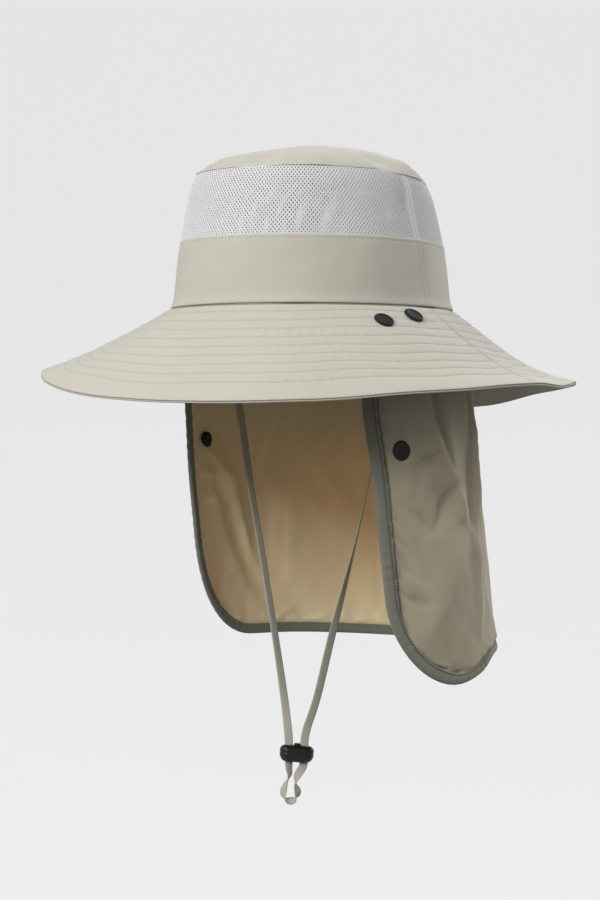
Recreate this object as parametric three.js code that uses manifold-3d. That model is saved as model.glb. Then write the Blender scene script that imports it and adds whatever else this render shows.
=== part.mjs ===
// Sun hat: bucket crown with a ventilation band, quilted brim, neck flap and chin strap.
// Millimetres, +Z up. The hat's front faces -Y and the wearer's left is +X.
// The origin is the centre of the head opening, in the plane of the seam between crown and brim.

import * as THREE from 'three';
import { mergeVertices } from 'three/addons/utils/BufferGeometryUtils.js';
import Module from 'manifold-3d';

const wasm = await Module();
wasm.setup();

// Crown
const headHalfWidth = 88.7;
const headHalfLength = 101;
const sideBandHeight = 43.5;
const meshBandHeight = 43.5;
const domeRise = 19;
const domeFullness = 2.9;
const crownWall = 1.6;
const seamGap = 0.3;

// Brim
const brimWidth = 93;
const brimWall = 2.4;
const quiltRows = 9;
const quiltFirst = 7;
const quiltPitch = 8.7;
const quiltPuff = 0.8;
const brimSagSkew = 1.4;

// Neck flap
const flapLength = 216.5;
const flapWall = 1.2;
const flapClearance = 0.8;
const flapSeamDepth = 6;
const bindingWidth = 8;
const bindingWall = 0.8;
const bindingStart = 7;
const bindingClearance = 0.4;

// Snaps
const snapCapRadius = 6.5;
const snapCapHeight = 2.4;
const snapSocketRadius = 5;
const snapSocketHeight = 2;
const snapPostRadius = 2;
const snapHoleClearance = 0.4;
const snapSeat = 0.5;

// Outlines of the cap, from its seat up to its dished middle, and of the socket, from its
// bottom up to its seat. Radii and heights are shares of each one's own.
const snapCapOutline = [
  { radius: 0.92, height: 0 },
  { radius: 1, height: 0.35 },
  { radius: 0.85, height: 1 },
  { radius: 0.68, height: 0.8 },
  { radius: 0, height: 0.8 },
];
const snapSocketOutline = [
  { radius: 0, height: 0 },
  { radius: 0.72, height: 0 },
  { radius: 1, height: 0.4 },
  { radius: 1, height: 1 },
];

// Chin strap and its cord lock
const strapWidth = 5.8;
const strapThickness = 1.2;
const strapSteps = 72;
const toggleLength = 22.5;
const toggleDepth = 12;
const toggleHeight = 11;
const toggleEdge = 2.5;
const toggleTabWidth = 3.4;
const toggleTabDepth = 6.6;
const toggleTabHeight = 1.5;
const slotClearance = 0.45;
const slotSpacing = 10.2;
const toggleTurn = 34.4;
const toggleCentre = new THREE.Vector3(-4, -12, -289);

// Fineness of the faceted surfaces
const halfHatColumns = 20;
const crownRows = 3;
const domeRows = 5;
const domeRowPower = 0.7;
const flapColumns = 20;
const flapCornerColumns = 5;
const flapRows = 11;
const bindingSideSteps = 9;
const snapSides = 14;

// The crown's outline, from the brim seam up: rise is a share of the bands' height,
// inset is how far the wall has come in, a share of the head's half width.
const crownProfile = [
  { rise: 0, inset: 0 },
  { rise: 0.07, inset: 0.0225 },
  { rise: 0.23, inset: 0.0405 },
  { rise: 0.38, inset: 0.061 },
  { rise: 0.5, inset: 0.0825 },
  { rise: 0.67, inset: 0.113 },
  { rise: 0.83, inset: 0.142 },
  { rise: 0.93, inset: 0.169 },
  { rise: 1, inset: 0.1985 },
];

// The brim round the hat: turn is in degrees from the front towards the wearer's left,
// drop is how far the edge hangs below the seam and sag how far the middle dips under the
// straight line, both shares of the brim's width.
const brimShape = [
  { turn: -140, drop: 0.5, sag: 0 },
  { turn: -100, drop: 0.43, sag: 0.02 },
  { turn: -56, drop: 0.402, sag: 0.02 },
  { turn: -40, drop: 0.485, sag: 0.024 },
  { turn: -25, drop: 0.568, sag: 0.016 },
  { turn: -10, drop: 0.638, sag: 0.012 },
  { turn: 10, drop: 0.67, sag: 0.005 },
  { turn: 30, drop: 0.657, sag: 0 },
  { turn: 50, drop: 0.613, sag: 0.005 },
  { turn: 70, drop: 0.562, sag: 0.035 },
  { turn: 90, drop: 0.521, sag: 0.055 },
  { turn: 105, drop: 0.535, sag: 0.066 },
  { turn: 122, drop: 0.499, sag: 0.073 },
  { turn: 140, drop: 0.51, sag: 0.055 },
  { turn: 155, drop: 0.538, sag: 0.03 },
  { turn: 170, drop: 0.62, sag: 0 },
  { turn: 190, drop: 0.637, sag: 0 },
];

// How far round the flap's two front edges lie, in degrees from the hat's front. Depth below
// the seam is a share of the flap's length, here and in the next table.
const flapEdgeTurns = [
  { depth: 0, left: 60, right: 300 },
  { depth: 0.115, left: 57, right: 295 },
  { depth: 0.277, left: 53.7, right: 288 },
  { depth: 0.476, left: 57, right: 284 },
  { depth: 0.702, left: 59.5, right: 277 },
  { depth: 0.878, left: 61.5, right: 273 },
  { depth: 1.085, left: 64, right: 270 },
];

// How far the hanging cloth stands out from its seam, as shares of the flap's length
const flapStandOut = [
  { depth: 0, leftEdge: 0, left: 0, back: 0, right: 0, rightEdge: 0 },
  { depth: 0.115, leftEdge: 0.01, left: 0.045, back: 0.019, right: 0.01, rightEdge: 0 },
  { depth: 0.277, leftEdge: 0.023, left: 0.075, back: 0.033, right: 0.014, rightEdge: 0 },
  { depth: 0.476, leftEdge: 0.033, left: 0.084, back: 0.051, right: 0.023, rightEdge: 0.001 },
  { depth: 0.702, leftEdge: 0.047, left: 0.109, back: 0.07, right: 0.033, rightEdge: 0.005 },
  { depth: 0.878, leftEdge: 0.056, left: 0.13, back: 0.083, right: 0.047, rightEdge: 0.01 },
  { depth: 1.085, leftEdge: 0.065, left: 0.148, back: 0.093, right: 0.056, rightEdge: 0.014 },
];

// The flap's hem before its corners are rounded: along is a share of the way round from the
// wearer's left, length a share of the flap's length.
const flapHem = [
  { along: 0, length: 1.081 },
  { along: 0.07, length: 1.102 },
  { along: 0.13, length: 1.095 },
  { along: 0.25, length: 1.021 },
  { along: 0.4, length: 1 },
  { along: 0.55, length: 0.998 },
  { along: 0.75, length: 0.99 },
  { along: 0.88, length: 0.993 },
  { along: 1, length: 0.975 },
];

// The rounded lower corners, as shares of the flap's length
const leftCorner = { along: 0.268, deep: 0.24 };
const rightCorner = { along: 0.277, deep: 0.296 };

// Soft folds in the flap. Each runs from one point to another: along is a share of the way
// round, depth, width and height are shares of the flap's length. The two shares of the
// flap's length before the table say how near to an edge a fold starts and is full.
const foldFreeShare = 0.03;
const foldFullShare = 0.17;
const flapFolds = [
  { fromAlong: 0.15, fromDepth: 0.2, toAlong: 0.185, toDepth: 0.72, width: 0.04, height: 0.016 },
  { fromAlong: 0.23, fromDepth: 0.2, toAlong: 0.25, toDepth: 0.95, width: 0.035, height: 0.014 },
  { fromAlong: 0.11, fromDepth: 0.5, toAlong: 0.16, toDepth: 0.62, width: 0.045, height: -0.014 },
  { fromAlong: 0.45, fromDepth: 0.2, toAlong: 0.43, toDepth: 1.0, width: 0.09, height: 0.018 },
  { fromAlong: 0.65, fromDepth: 0.25, toAlong: 0.66, toDepth: 0.95, width: 0.08, height: -0.014 },
  { fromAlong: 0.93, fromDepth: 0.42, toAlong: 0.82, toDepth: 0.9, width: 0.035, height: 0.024 },
];

// Snaps on the brim: how many degrees round from the hat's front each pair's left and right
// ones sit. Reach is the distance from the seam as a share of the brim's width.
const brimSnaps = [
  { number: 1, left: 58, right: 68, reach: 0.195 },
  { number: 2, left: 73.7, right: 83.5, reach: 0.126 },
];

// Snaps on the flap: side is the front edge that the snap sits by. Distances are shares of
// the flap's length.
const flapSnaps = [
  { name: 'flap_snap_left', side: 'left', fromEdge: 0.1, depth: 0.4226 },
  { name: 'flap_snap_right', side: 'right', fromEdge: 0.12, depth: 0.387 },
];

// The chin strap's centreline, from the wearer's right down through the cord lock, round the
// small loop below it and up to the wearer's left. Facing is the direction of the tape's
// width in plan, in degrees from +X towards +Y.
const strapRoute = [
  { x: -82.1, y: 11.8, z: 1.5, facing: 82 },
  { x: -80.5, y: 11.4, z: -14, facing: 80 },
  { x: -73.5, y: 9.8, z: -37, facing: 70 },
  { x: -64, y: 7.5, z: -62, facing: 62 },
  { x: -50.5, y: 2.2, z: -116, facing: 72 },
  { x: -38.8, y: -1.9, z: -159, facing: 75 },
  { x: -24.8, y: -7, z: -212, facing: 72 },
  { x: -14.9, y: -11, z: -251, facing: 55 },
  { x: -9.4, y: -14.4, z: -272, facing: 38 },
  { x: -8.2, y: -14.9, z: -281, facing: 34.4 },
  { x: -8.2, y: -14.9, z: -289, facing: 34.4 },
  { x: -8.2, y: -14.9, z: -297, facing: 40 },
  { x: -7.6, y: -14.4, z: -303, facing: 118 },
  { x: -10.2, y: -16.2, z: -308.5, facing: 146 },
  { x: -11.1, y: -16.8, z: -313.5, facing: 140 },
  { x: -9.6, y: -15.8, z: -318, facing: 130 },
  { x: -7, y: -14.1, z: -320.2, facing: 124 },
  { x: -4.6, y: -12.4, z: -317.6, facing: 110 },
  { x: -3.6, y: -11.8, z: -313, facing: 100 },
  { x: -4.9, y: -12.6, z: -308.5, facing: 124 },
  { x: -3.6, y: -11.7, z: -302.5, facing: 190 },
  { x: 0, y: -9.2, z: -297, facing: 212 },
  { x: 0.2, y: -9.1, z: -289, facing: 214.4 },
  { x: 0.2, y: -9.1, z: -281, facing: 214.4 },
  { x: 2.2, y: -9, z: -272, facing: 216 },
  { x: 9.6, y: -8, z: -251, facing: 225 },
  { x: 20.8, y: -7.7, z: -211, facing: 235 },
  { x: 37.1, y: -6.7, z: -155, facing: 288 },
  { x: 50.8, y: -6.4, z: -103, facing: 302 },
  { x: 64.5, y: -5.6, z: -55, facing: 292 },
  { x: 76, y: -4, z: -26, facing: 276 },
  { x: 81.5, y: -3, z: -8, facing: 270 },
  { x: 83, y: -2.9, z: 1.5, facing: 268 },
];

// Everything below is worked out from the sizes above.

const degrees = Math.PI / 180;
const bandsHeight = sideBandHeight + meshBandHeight;
const flapSeat = crownWall + flapClearance;
const tinyStep = 1e-3;

// The value of one column of a table where its key column reads `at`: a smooth curve through
// the rows, straight beyond the first and the last, or repeating after `period`.
function tableValue(rows, key, column, at, period = 0) {
  let keys = rows.map((row) => row[key]);
  let values = rows.map((row) => row[column]);
  let place = at;
  if (period) {
    const lastTwo = keys.slice(-2).map((k) => k - period);
    const firstTwo = keys.slice(0, 2).map((k) => k + period);
    keys = [...lastTwo, ...keys, ...firstTwo];
    values = [...values.slice(-2), ...values, ...values.slice(0, 2)];
    place = THREE.MathUtils.euclideanModulo(at - keys[2], period) + keys[2];
  }
  const last = keys.length - 1;
  const slope = (i) => {
    const before = Math.max(i - 1, 0);
    const after = Math.min(i + 1, last);
    return (values[after] - values[before]) / (keys[after] - keys[before]);
  };
  if (place <= keys[0]) return values[0] + slope(0) * (place - keys[0]);
  if (place >= keys[last]) return values[last] + slope(last) * (place - keys[last]);
  const i = keys.findLastIndex((k) => k <= place);
  const span = keys[i + 1] - keys[i];
  const t = (place - keys[i]) / span;
  const towardsNext = t * t * (3 - 2 * t);
  const leaving = t * (1 - t) * (1 - t) * span * slope(i);
  const arriving = t * t * (t - 1) * span * slope(i + 1);
  return values[i] * (1 - towardsNext) + values[i + 1] * towardsNext + leaving + arriving;
}

// Evenly spread values from first to last, both included.
function spread(first, last, steps) {
  return Array.from({ length: steps + 1 }, (_, i) => first + ((last - first) * i) / steps);
}

// A point `outward` of the seam oval, level with `height`, at an angle in radians.
function place(turn, outward, height) {
  const sine = Math.sin(turn);
  const cosine = Math.cos(turn);
  const radius = 1 / Math.hypot(sine / headHalfWidth, cosine / headHalfLength);
  const normal = new THREE.Vector2(sine / headHalfWidth ** 2, -cosine / headHalfLength ** 2).normalize();
  return new THREE.Vector3(
    radius * sine + normal.x * outward,
    -radius * cosine + normal.y * outward,
    height,
  );
}

// How far the crown's wall has come in at a height above the seam.
function crownInset(height) {
  return headHalfWidth * tableValue(crownProfile, 'rise', 'inset', height / bandsHeight);
}

// The length of the seam oval between two angles in radians.
function seamLength(from, to) {
  const points = spread(from, to, 180).map((turn) => place(turn, 0, 0));
  return points.slice(1).reduce((sum, point, i) => sum + point.distanceTo(points[i]), 0);
}

// Which way a surface faces: across and up its two directions, turned a right angle from both.
function facingOf(surface, u, v) {
  const acrossStep = surface(u + tinyStep, v).sub(surface(u - tinyStep, v));
  const upStep = surface(u, v + tinyStep).sub(surface(u, v - tinyStep));
  return acrossStep.cross(upStep).normalize();
}

// The surface that lies a wall's thickness behind another one.
function behind(surface, thickness) {
  return (u, v) => surface(u, v).addScaledVector(facingOf(surface, u, v), -thickness);
}

// A closed geometry from triangle corners, with equal corners joined and empty faces dropped.
function closedGeometry(corners) {
  const loose = new THREE.BufferGeometry();
  const numbers = corners.flatMap((corner) => [corner.x, corner.y, corner.z]);
  loose.setAttribute('position', new THREE.Float32BufferAttribute(numbers, 3));
  const joined = mergeVertices(loose, tinyStep);
  const index = joined.getIndex().array;
  const kept = [];
  for (let i = 0; i < index.length; i += 3) {
    const [a, b, c] = index.slice(i, i + 3);
    if (a !== b && b !== c && c !== a) kept.push(a, b, c);
  }
  joined.setIndex(kept);
  joined.computeVertexNormals();
  return joined;
}

// A wall between two surfaces of (u, v). u runs round the hat towards the wearer's left and
// v runs upward or inward. A ring joins its last column to its first.
function wallBetween(outside, inside, columns, rows, ring = false) {
  const outer = columns.map((u) => rows.map((v) => outside(u, v)));
  const inner = columns.map((u) => rows.map((v) => inside(u, v)));
  if (ring) {
    outer.push(outer[0]);
    inner.push(inner[0]);
  }
  const corners = [];
  const quad = (a, b, c, d) => corners.push(a, b, c, a, c, d);
  const lastColumn = outer.length - 1;
  const lastRow = rows.length - 1;
  for (let i = 0; i < lastColumn; i += 1) {
    for (let j = 0; j < lastRow; j += 1) {
      quad(outer[i][j], outer[i + 1][j], outer[i + 1][j + 1], outer[i][j + 1]);
      quad(inner[i][j + 1], inner[i + 1][j + 1], inner[i + 1][j], inner[i][j]);
    }
    quad(inner[i][0], inner[i + 1][0], outer[i + 1][0], outer[i][0]);
    quad(outer[i][lastRow], outer[i + 1][lastRow], inner[i + 1][lastRow], inner[i][lastRow]);
  }
  if (!ring) {
    for (let j = 0; j < lastRow; j += 1) {
      quad(inner[0][j], outer[0][j], outer[0][j + 1], inner[0][j + 1]);
      quad(outer[lastColumn][j], inner[lastColumn][j], inner[lastColumn][j + 1], outer[lastColumn][j + 1]);
    }
  }
  return closedGeometry(corners);
}

// Boolean cuts: a solid from a geometry, and back.
function solidOf(geometry) {
  const bare = geometry.clone();
  bare.deleteAttribute('normal');
  bare.deleteAttribute('uv');
  const joined = mergeVertices(bare, tinyStep);
  const mesh = new wasm.Mesh({
    numProp: 3,
    vertProperties: new Float32Array(joined.getAttribute('position').array),
    triVerts: new Uint32Array(joined.getIndex().array),
  });
  return new wasm.Manifold(mesh);
}

function geometryOf(solid) {
  const mesh = solid.getMesh();
  const geometry = new THREE.BufferGeometry();
  geometry.setAttribute('position', new THREE.Float32BufferAttribute(mesh.vertProperties, 3));
  geometry.setIndex(Array.from(mesh.triVerts));
  geometry.computeVertexNormals();
  return geometry;
}

function cutBy(geometry, cutters) {
  const cut = cutters.reduce((solid, cutter) => solid.subtract(solidOf(cutter)), solidOf(geometry));
  return geometryOf(cut);
}

// The two halves of the hat meet at the wearer's ears, a seam gap apart.
const halfGapTurn = Math.atan(seamGap / 2 / headHalfWidth);
const quarterTurn = Math.PI / 2;
const frontColumns = spread(-quarterTurn + halfGapTurn, quarterTurn - halfGapTurn, halfHatColumns);
const backColumns = frontColumns.map((turn) => turn + Math.PI);
const ringColumns = spread(-quarterTurn, 3 * quarterTurn, 2 * halfHatColumns).slice(0, -1);

// Crown: the bands' outer face follows the crown's outline, and its inner face lies a wall
// further in at the same level, so the seams between bands are level.
const bandOutside = (turn, height) => place(turn, -crownInset(height), height);
const bandInside = (turn, height) => place(turn, -crownInset(height) - crownWall, height);

function bandGeometry(columns, bottom, top) {
  return wallBetween(bandOutside, bandInside, columns, spread(bottom, top, crownRows));
}

// The dome on top: v runs from the rim, at 0, to the middle, at 1. Its height falls off with
// a power of the distance from the middle, so it is flat on top and round at the rim.
function domeSurface(inset, rise) {
  return (turn, v) => {
    const distance = 1 - v;
    const point = place(turn, -inset, 0).multiplyScalar(distance);
    point.z = bandsHeight + rise * (1 - distance ** domeFullness);
    return point;
  };
}

function domeGeometry() {
  const topInset = crownInset(bandsHeight);
  const outside = domeSurface(topInset, domeRise);
  const inside = domeSurface(topInset + crownWall, domeRise - crownWall);
  const rows = spread(0, 1, domeRows).map((share) => 1 - (1 - share) ** domeRowPower);
  return wallBetween(outside, inside, ringColumns, rows, true);
}

// Brim: distances from the seam at which the cloth is stitched down, the seam and the edge
// included.
const quiltLast = quiltFirst + quiltPitch * (quiltRows - 1);
const quiltLines = [0, ...spread(quiltFirst, quiltLast, quiltRows - 1), brimWidth];

// The cloth swells up between two stitch lines like half a wave.
function puffAt(distance) {
  const i = quiltLines.findLastIndex((line) => line <= distance);
  if (i < 0 || i === quiltLines.length - 1) return 0;
  const share = (distance - quiltLines[i]) / (quiltLines[i + 1] - quiltLines[i]);
  return quiltPuff * Math.sin(Math.PI * share);
}

// The brim's top face, v from the edge at 0 to the seam at 1: a straight slope down to the
// edge, dipped in the middle by the sag, with the quilting's puff on top.
function brimSurface(puffed) {
  return (turn, v) => {
    const drop = brimWidth * tableValue(brimShape, 'turn', 'drop', turn / degrees, 360);
    const sag = brimWidth * tableValue(brimShape, 'turn', 'sag', turn / degrees, 360);
    const run = Math.sqrt(brimWidth ** 2 - drop ** 2);
    const share = 1 - v;
    const dip = sag * Math.sin(Math.PI * Math.max(share, 0) ** brimSagSkew);
    const lift = (puffed ? puffAt(share * brimWidth) : 0) - dip;
    const outward = run * share + (lift * drop) / brimWidth;
    const height = -seamGap - drop * share + (lift * run) / brimWidth;
    return place(turn, outward, height);
  };
}

function brimGeometry(columns) {
  const plain = brimSurface(false);
  const middles = quiltLines.slice(1).map((line, i) => (line + quiltLines[i]) / 2);
  const distances = [...quiltLines, ...middles].sort((a, b) => b - a);
  const rows = distances.map((distance) => 1 - distance / brimWidth);
  return wallBetween(brimSurface(true), behind(plain, brimWall), columns, rows);
}

// Flap: its width along the seam, and its cloth as a function of the distance along and the
// depth below the seam.
const flapWidth = seamLength(flapEdgeTurns[0].left * degrees, flapEdgeTurns[0].right * degrees);

// A bump along the line between a fold's two ends: full height on the line, fading with the
// square of the distance from it and to nothing towards both ends.
function foldLift(fold, along, depth) {
  const start = new THREE.Vector2(fold.fromAlong * flapWidth, fold.fromDepth * flapLength);
  const end = new THREE.Vector2(fold.toAlong * flapWidth, fold.toDepth * flapLength);
  const line = end.clone().sub(start);
  const offset = new THREE.Vector2(along, depth).sub(start);
  const share = THREE.MathUtils.clamp(offset.dot(line) / line.lengthSq(), 0, 1);
  const distance = Math.hypot(offset.x - line.x * share, offset.y - line.y * share);
  const fade = Math.exp(-((distance / (fold.width * flapLength)) ** 2));
  return fold.height * flapLength * fade * Math.sin(Math.PI * share);
}

// Folds die out near the flap's free edges and its seam.
function foldMask(along, depth) {
  const free = foldFreeShare * flapLength;
  const full = foldFullShare * flapLength;
  const clearOf = (distance) => THREE.MathUtils.smoothstep(distance, free, full);
  return clearOf(along) * clearOf(flapWidth - along) * clearOf(hemDepth(along) - depth) * clearOf(depth);
}

function hemDepth(along) {
  const depth = flapLength * tableValue(flapHem, 'along', 'length', along / flapWidth);
  const rounding = (corner, fromEdge) => {
    const share = THREE.MathUtils.clamp(1 - fromEdge / (corner.along * flapLength), 0, 1);
    return corner.deep * flapLength * (1 - Math.sqrt(1 - share ** 2));
  };
  return depth - rounding(leftCorner, along) - rounding(rightCorner, flapWidth - along);
}

// How far the cloth stands out from its seam: the row's five values, in a smooth curve round.
function flapStand(share, depthShare) {
  const columns = ['leftEdge', 'left', 'back', 'right', 'rightEdge'];
  const rows = columns.map((column, i) => ({
    share: i / (columns.length - 1),
    stand: tableValue(flapStandOut, 'depth', column, depthShare),
  }));
  return flapLength * tableValue(rows, 'share', 'stand', share);
}

// The flap's outer face, u millimetres along from the wearer's left front edge and v
// millimetres up from the seam, so the hanging cloth has negative v. Above the seam it lies
// against the inside of the side band.
function flapOutside(u, v) {
  const share = u / flapWidth;
  const depthShare = Math.max(-v, 0) / flapLength;
  const leftTurn = tableValue(flapEdgeTurns, 'depth', 'left', depthShare);
  const rightTurn = tableValue(flapEdgeTurns, 'depth', 'right', depthShare);
  const stand = v > 0 ? -crownInset(v) : flapStand(share, depthShare);
  let lift = 0;
  if (v < 0) {
    const mask = foldMask(u, -v);
    if (mask > 0) lift = mask * flapFolds.reduce((sum, fold) => sum + foldLift(fold, u, -v), 0);
  }
  return place((leftTurn + (rightTurn - leftTurn) * share) * degrees, stand - flapSeat + lift, v);
}

// Columns close together where a corner bends, evenly spread between the corners.
function flapColumnPlaces() {
  const angles = spread(0, quarterTurn, flapCornerColumns);
  const cornerPlaces = (corner) => angles.map((angle) => corner.along * flapLength * (1 - Math.cos(angle)));
  const left = cornerPlaces(leftCorner);
  const right = cornerPlaces(rightCorner)
    .map((distance) => flapWidth - distance)
    .reverse();
  const middle = spread(left[left.length - 1], right[0], flapColumns).slice(1, -1);
  return [...left, ...middle, ...right];
}

// Each column of the flap has its own hem: rows run from the hem, at 0, to the seam, at 1,
// and on up inside the side band, to 2.
function flapGeometry() {
  const height = (u, row) => (row <= 1 ? -hemDepth(u) * (1 - row) : (row - 1) * flapSeamDepth);
  const backOfCloth = behind(flapOutside, flapWall);
  const outside = (u, row) => flapOutside(u, height(u, row));
  const inside = (u, row) => backOfCloth(u, height(u, row));
  return wallBetween(outside, inside, flapColumnPlaces(), [...spread(0, 1, flapRows), 2]);
}

// The free edge as points {u, v}, down the wearer's left, along the hem and up the right.
function flapEdge() {
  const columns = flapColumnPlaces();
  const leftDepths = spread(bindingStart, hemDepth(0), bindingSideSteps);
  const leftSide = leftDepths.map((depth) => ({ u: 0, v: -depth }));
  const hem = columns.slice(1, -1).map((u) => ({ u, v: -hemDepth(u) }));
  const rightDepths = spread(hemDepth(flapWidth), bindingStart, bindingSideSteps);
  const rightSide = rightDepths.map((depth) => ({ u: flapWidth, v: -depth }));
  return [...leftSide, ...hem, ...rightSide];
}

// The binding: a U-shaped section folded over the edge and carried along it. Inward is
// measured in the cloth, at a right angle to the edge, and lift is measured off its face.
function bindingGeometry() {
  const edge = flapEdge();
  const outerLift = bindingClearance + bindingWall;
  const foldOver = -bindingClearance - bindingWall;
  const backLift = -flapWall - bindingClearance;
  const section = [
    { inward: bindingWidth, lift: bindingClearance },
    { inward: bindingWidth, lift: outerLift },
    { inward: foldOver, lift: outerLift },
    { inward: foldOver, lift: backLift - bindingWall },
    { inward: bindingWidth, lift: backLift - bindingWall },
    { inward: bindingWidth, lift: backLift },
    { inward: -bindingClearance, lift: backLift },
    { inward: -bindingClearance, lift: bindingClearance },
  ];
  const rings = edge.map((point, i) => {
    const before = edge[Math.max(i - 1, 0)];
    const after = edge[Math.min(i + 1, edge.length - 1)];
    const along = new THREE.Vector2(after.u - before.u, after.v - before.v).normalize();
    return section.map(({ inward, lift }) => {
      const u = point.u - along.y * inward;
      const v = point.v + along.x * inward;
      return flapOutside(u, v).addScaledVector(facingOf(flapOutside, u, v), lift);
    });
  });
  const corners = [];
  for (let i = 1; i < rings.length; i += 1) {
    for (let j = 0; j < section.length; j += 1) {
      const next = (j + 1) % section.length;
      const [a, b, c, d] = [rings[i - 1][j], rings[i - 1][next], rings[i][next], rings[i][j]];
      corners.push(a, b, c, a, c, d);
    }
  }
  const outline = section.map(({ inward, lift }) => new THREE.Vector2(inward, lift));
  const firstRing = rings[0];
  const lastRing = rings[rings.length - 1];
  for (const [a, b, c] of THREE.ShapeUtils.triangulateShape(outline, [])) {
    corners.push(firstRing[c], firstRing[b], firstRing[a]);
    corners.push(lastRing[a], lastRing[b], lastRing[c]);
  }
  return closedGeometry(corners);
}

// A snap is a dished cap on the outer face, a post through the cloth and a socket behind it.
// Its own Y axis is the post. The cap's flat middle is what the mating half closes on.
function snapGeometry(clothThickness, puff) {
  const capBottom = puff + snapSeat;
  const socketTop = -clothThickness - snapSeat;
  const socketBottom = socketTop - snapSocketHeight;
  const turned = (outline, radius, bottom, height) =>
    outline.map((row) => new THREE.Vector2(row.radius * radius, bottom + row.height * height));
  const socket = turned(snapSocketOutline, snapSocketRadius, socketBottom, snapSocketHeight);
  const post = [socketTop, capBottom].map((height) => new THREE.Vector2(snapPostRadius, height));
  const cap = turned(snapCapOutline, snapCapRadius, capBottom, snapCapHeight);
  return new THREE.LatheGeometry([...socket, ...post, ...cap], snapSides);
}

function holeCutter(seat, depth) {
  const cutter = new THREE.CylinderGeometry(
    snapPostRadius + snapHoleClearance,
    snapPostRadius + snapHoleClearance,
    depth,
    snapSides,
  );
  return cutter.applyMatrix4(new THREE.Matrix4().compose(seat.point, seat.turn, new THREE.Vector3(1, 1, 1)));
}

// Where a snap sits: its point on the surface and the turn that stands its post upright there.
function seatOn(surface, u, v) {
  const normal = facingOf(surface, u, v);
  return {
    point: surface(u, v),
    turn: new THREE.Quaternion().setFromUnitVectors(new THREE.Vector3(0, 1, 0), normal),
  };
}

const brimSnapSeats = brimSnaps.flatMap(({ number, left, right, reach }) => [
  { name: `brim_snap_left_${number}`, ...seatOn(brimSurface(false), left * degrees, 1 - reach) },
  { name: `brim_snap_right_${number}`, ...seatOn(brimSurface(false), -right * degrees, 1 - reach) },
]);

const flapSnapSeats = flapSnaps.map(({ name, side, fromEdge, depth }) => {
  const distance = fromEdge * flapLength;
  const u = side === 'left' ? distance : flapWidth - distance;
  return { name, ...seatOn(flapOutside, u, -depth * flapLength) };
});

// The chin strap's route. It is stepped evenly from point to point, so the steps are short
// round the small loop, and its frames turn the tape's width to the route's facing.
class TapeRoute extends THREE.CatmullRomCurve3 {
  constructor(rows) {
    super(rows.map((row) => new THREE.Vector3(row.x, row.y, row.z)), false, 'catmullrom', 0.5);
    this.facings = rows.map((row) => ({ at: rows.indexOf(row), facing: row.facing }));
  }

  getSpacedPoints(steps) {
    return this.getPoints(steps);
  }

  computeFrenetFrames(steps) {
    const shares = spread(0, 1, steps);
    const tangents = shares.map((share) => this.getTangent(share));
    const normals = shares.map((share, i) => {
      const at = share * (this.facings.length - 1);
      const facing = tableValue(this.facings, 'at', 'facing', at) * degrees;
      const width = new THREE.Vector3(Math.cos(facing), Math.sin(facing), 0);
      return width.addScaledVector(tangents[i], -width.dot(tangents[i])).normalize();
    });
    const binormals = normals.map((normal, i) => tangents[i].clone().cross(normal));
    return { tangents, normals, binormals };
  }
}

function strapGeometry() {
  const halfWidth = strapWidth / 2;
  const halfThickness = strapThickness / 2;
  const section = new THREE.Shape();
  section.moveTo(halfWidth, -halfThickness / 2);
  section.lineTo(halfWidth, halfThickness / 2);
  section.lineTo(halfWidth - halfThickness, halfThickness);
  section.lineTo(-halfWidth + halfThickness, halfThickness);
  section.lineTo(-halfWidth, halfThickness / 2);
  section.lineTo(-halfWidth, -halfThickness / 2);
  section.lineTo(-halfWidth + halfThickness, -halfThickness);
  section.lineTo(halfWidth - halfThickness, -halfThickness);
  section.closePath();
  return new THREE.ExtrudeGeometry(section, { steps: strapSteps, extrudePath: new TapeRoute(strapRoute) });
}

// The cord lock: an oval bead with rounded edges, a press tab on top between the strap's two
// runs, and a slot for each run. Its own X axis is its length.
function toggleGeometry() {
  const endRadius = toggleDepth / 2 - toggleEdge;
  const straight = toggleLength / 2 - toggleDepth / 2;
  const outline = new THREE.Shape();
  outline.absarc(straight, 0, endRadius, -quarterTurn, quarterTurn);
  outline.absarc(-straight, 0, endRadius, quarterTurn, 3 * quarterTurn);
  outline.closePath();
  const body = new THREE.ExtrudeGeometry(outline, {
    depth: toggleHeight - 2 * toggleEdge,
    steps: 1,
    curveSegments: 6,
    bevelThickness: toggleEdge,
    bevelSize: toggleEdge,
    bevelSegments: 3,
  });
  body.translate(0, 0, toggleEdge - toggleHeight / 2);
  const tab = new THREE.BoxGeometry(toggleTabWidth, toggleTabDepth, 2 * toggleTabHeight);
  tab.translate(0, 0, toggleHeight / 2);
  const slots = [-1, 1].map((side) => {
    const slot = new THREE.BoxGeometry(
      strapWidth + 2 * slotClearance,
      strapThickness + 2 * slotClearance,
      2 * toggleHeight,
    );
    return slot.translate((side * slotSpacing) / 2, 0, 0);
  });
  const bead = solidOf(body).add(solidOf(tab));
  return geometryOf(slots.reduce((solid, slot) => solid.subtract(solidOf(slot)), bead));
}

// Materials
const khakiCloth = { color: 0xc9c3b4, roughness: 0.85, metalness: 0 };
const meshCloth = { color: 0xcfcfce, roughness: 0.9, metalness: 0 };
const flapCloth = { color: 0xa39a84, roughness: 0.8, metalness: 0 };
const bindingTape = { color: 0x87846f, roughness: 0.75, metalness: 0 };
const strapTape = { color: 0x9b988a, roughness: 0.8, metalness: 0 };
const blackPlastic = { color: 0x1b1c1e, roughness: 0.45, metalness: 0 };

const hat = new THREE.Group();

function addPiece(name, geometry, finish, parent = hat) {
  const piece = new THREE.Mesh(geometry, new THREE.MeshStandardMaterial(finish));
  piece.name = name;
  parent.add(piece);
  return piece;
}

addPiece('crown_top', domeGeometry(), khakiCloth);

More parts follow.
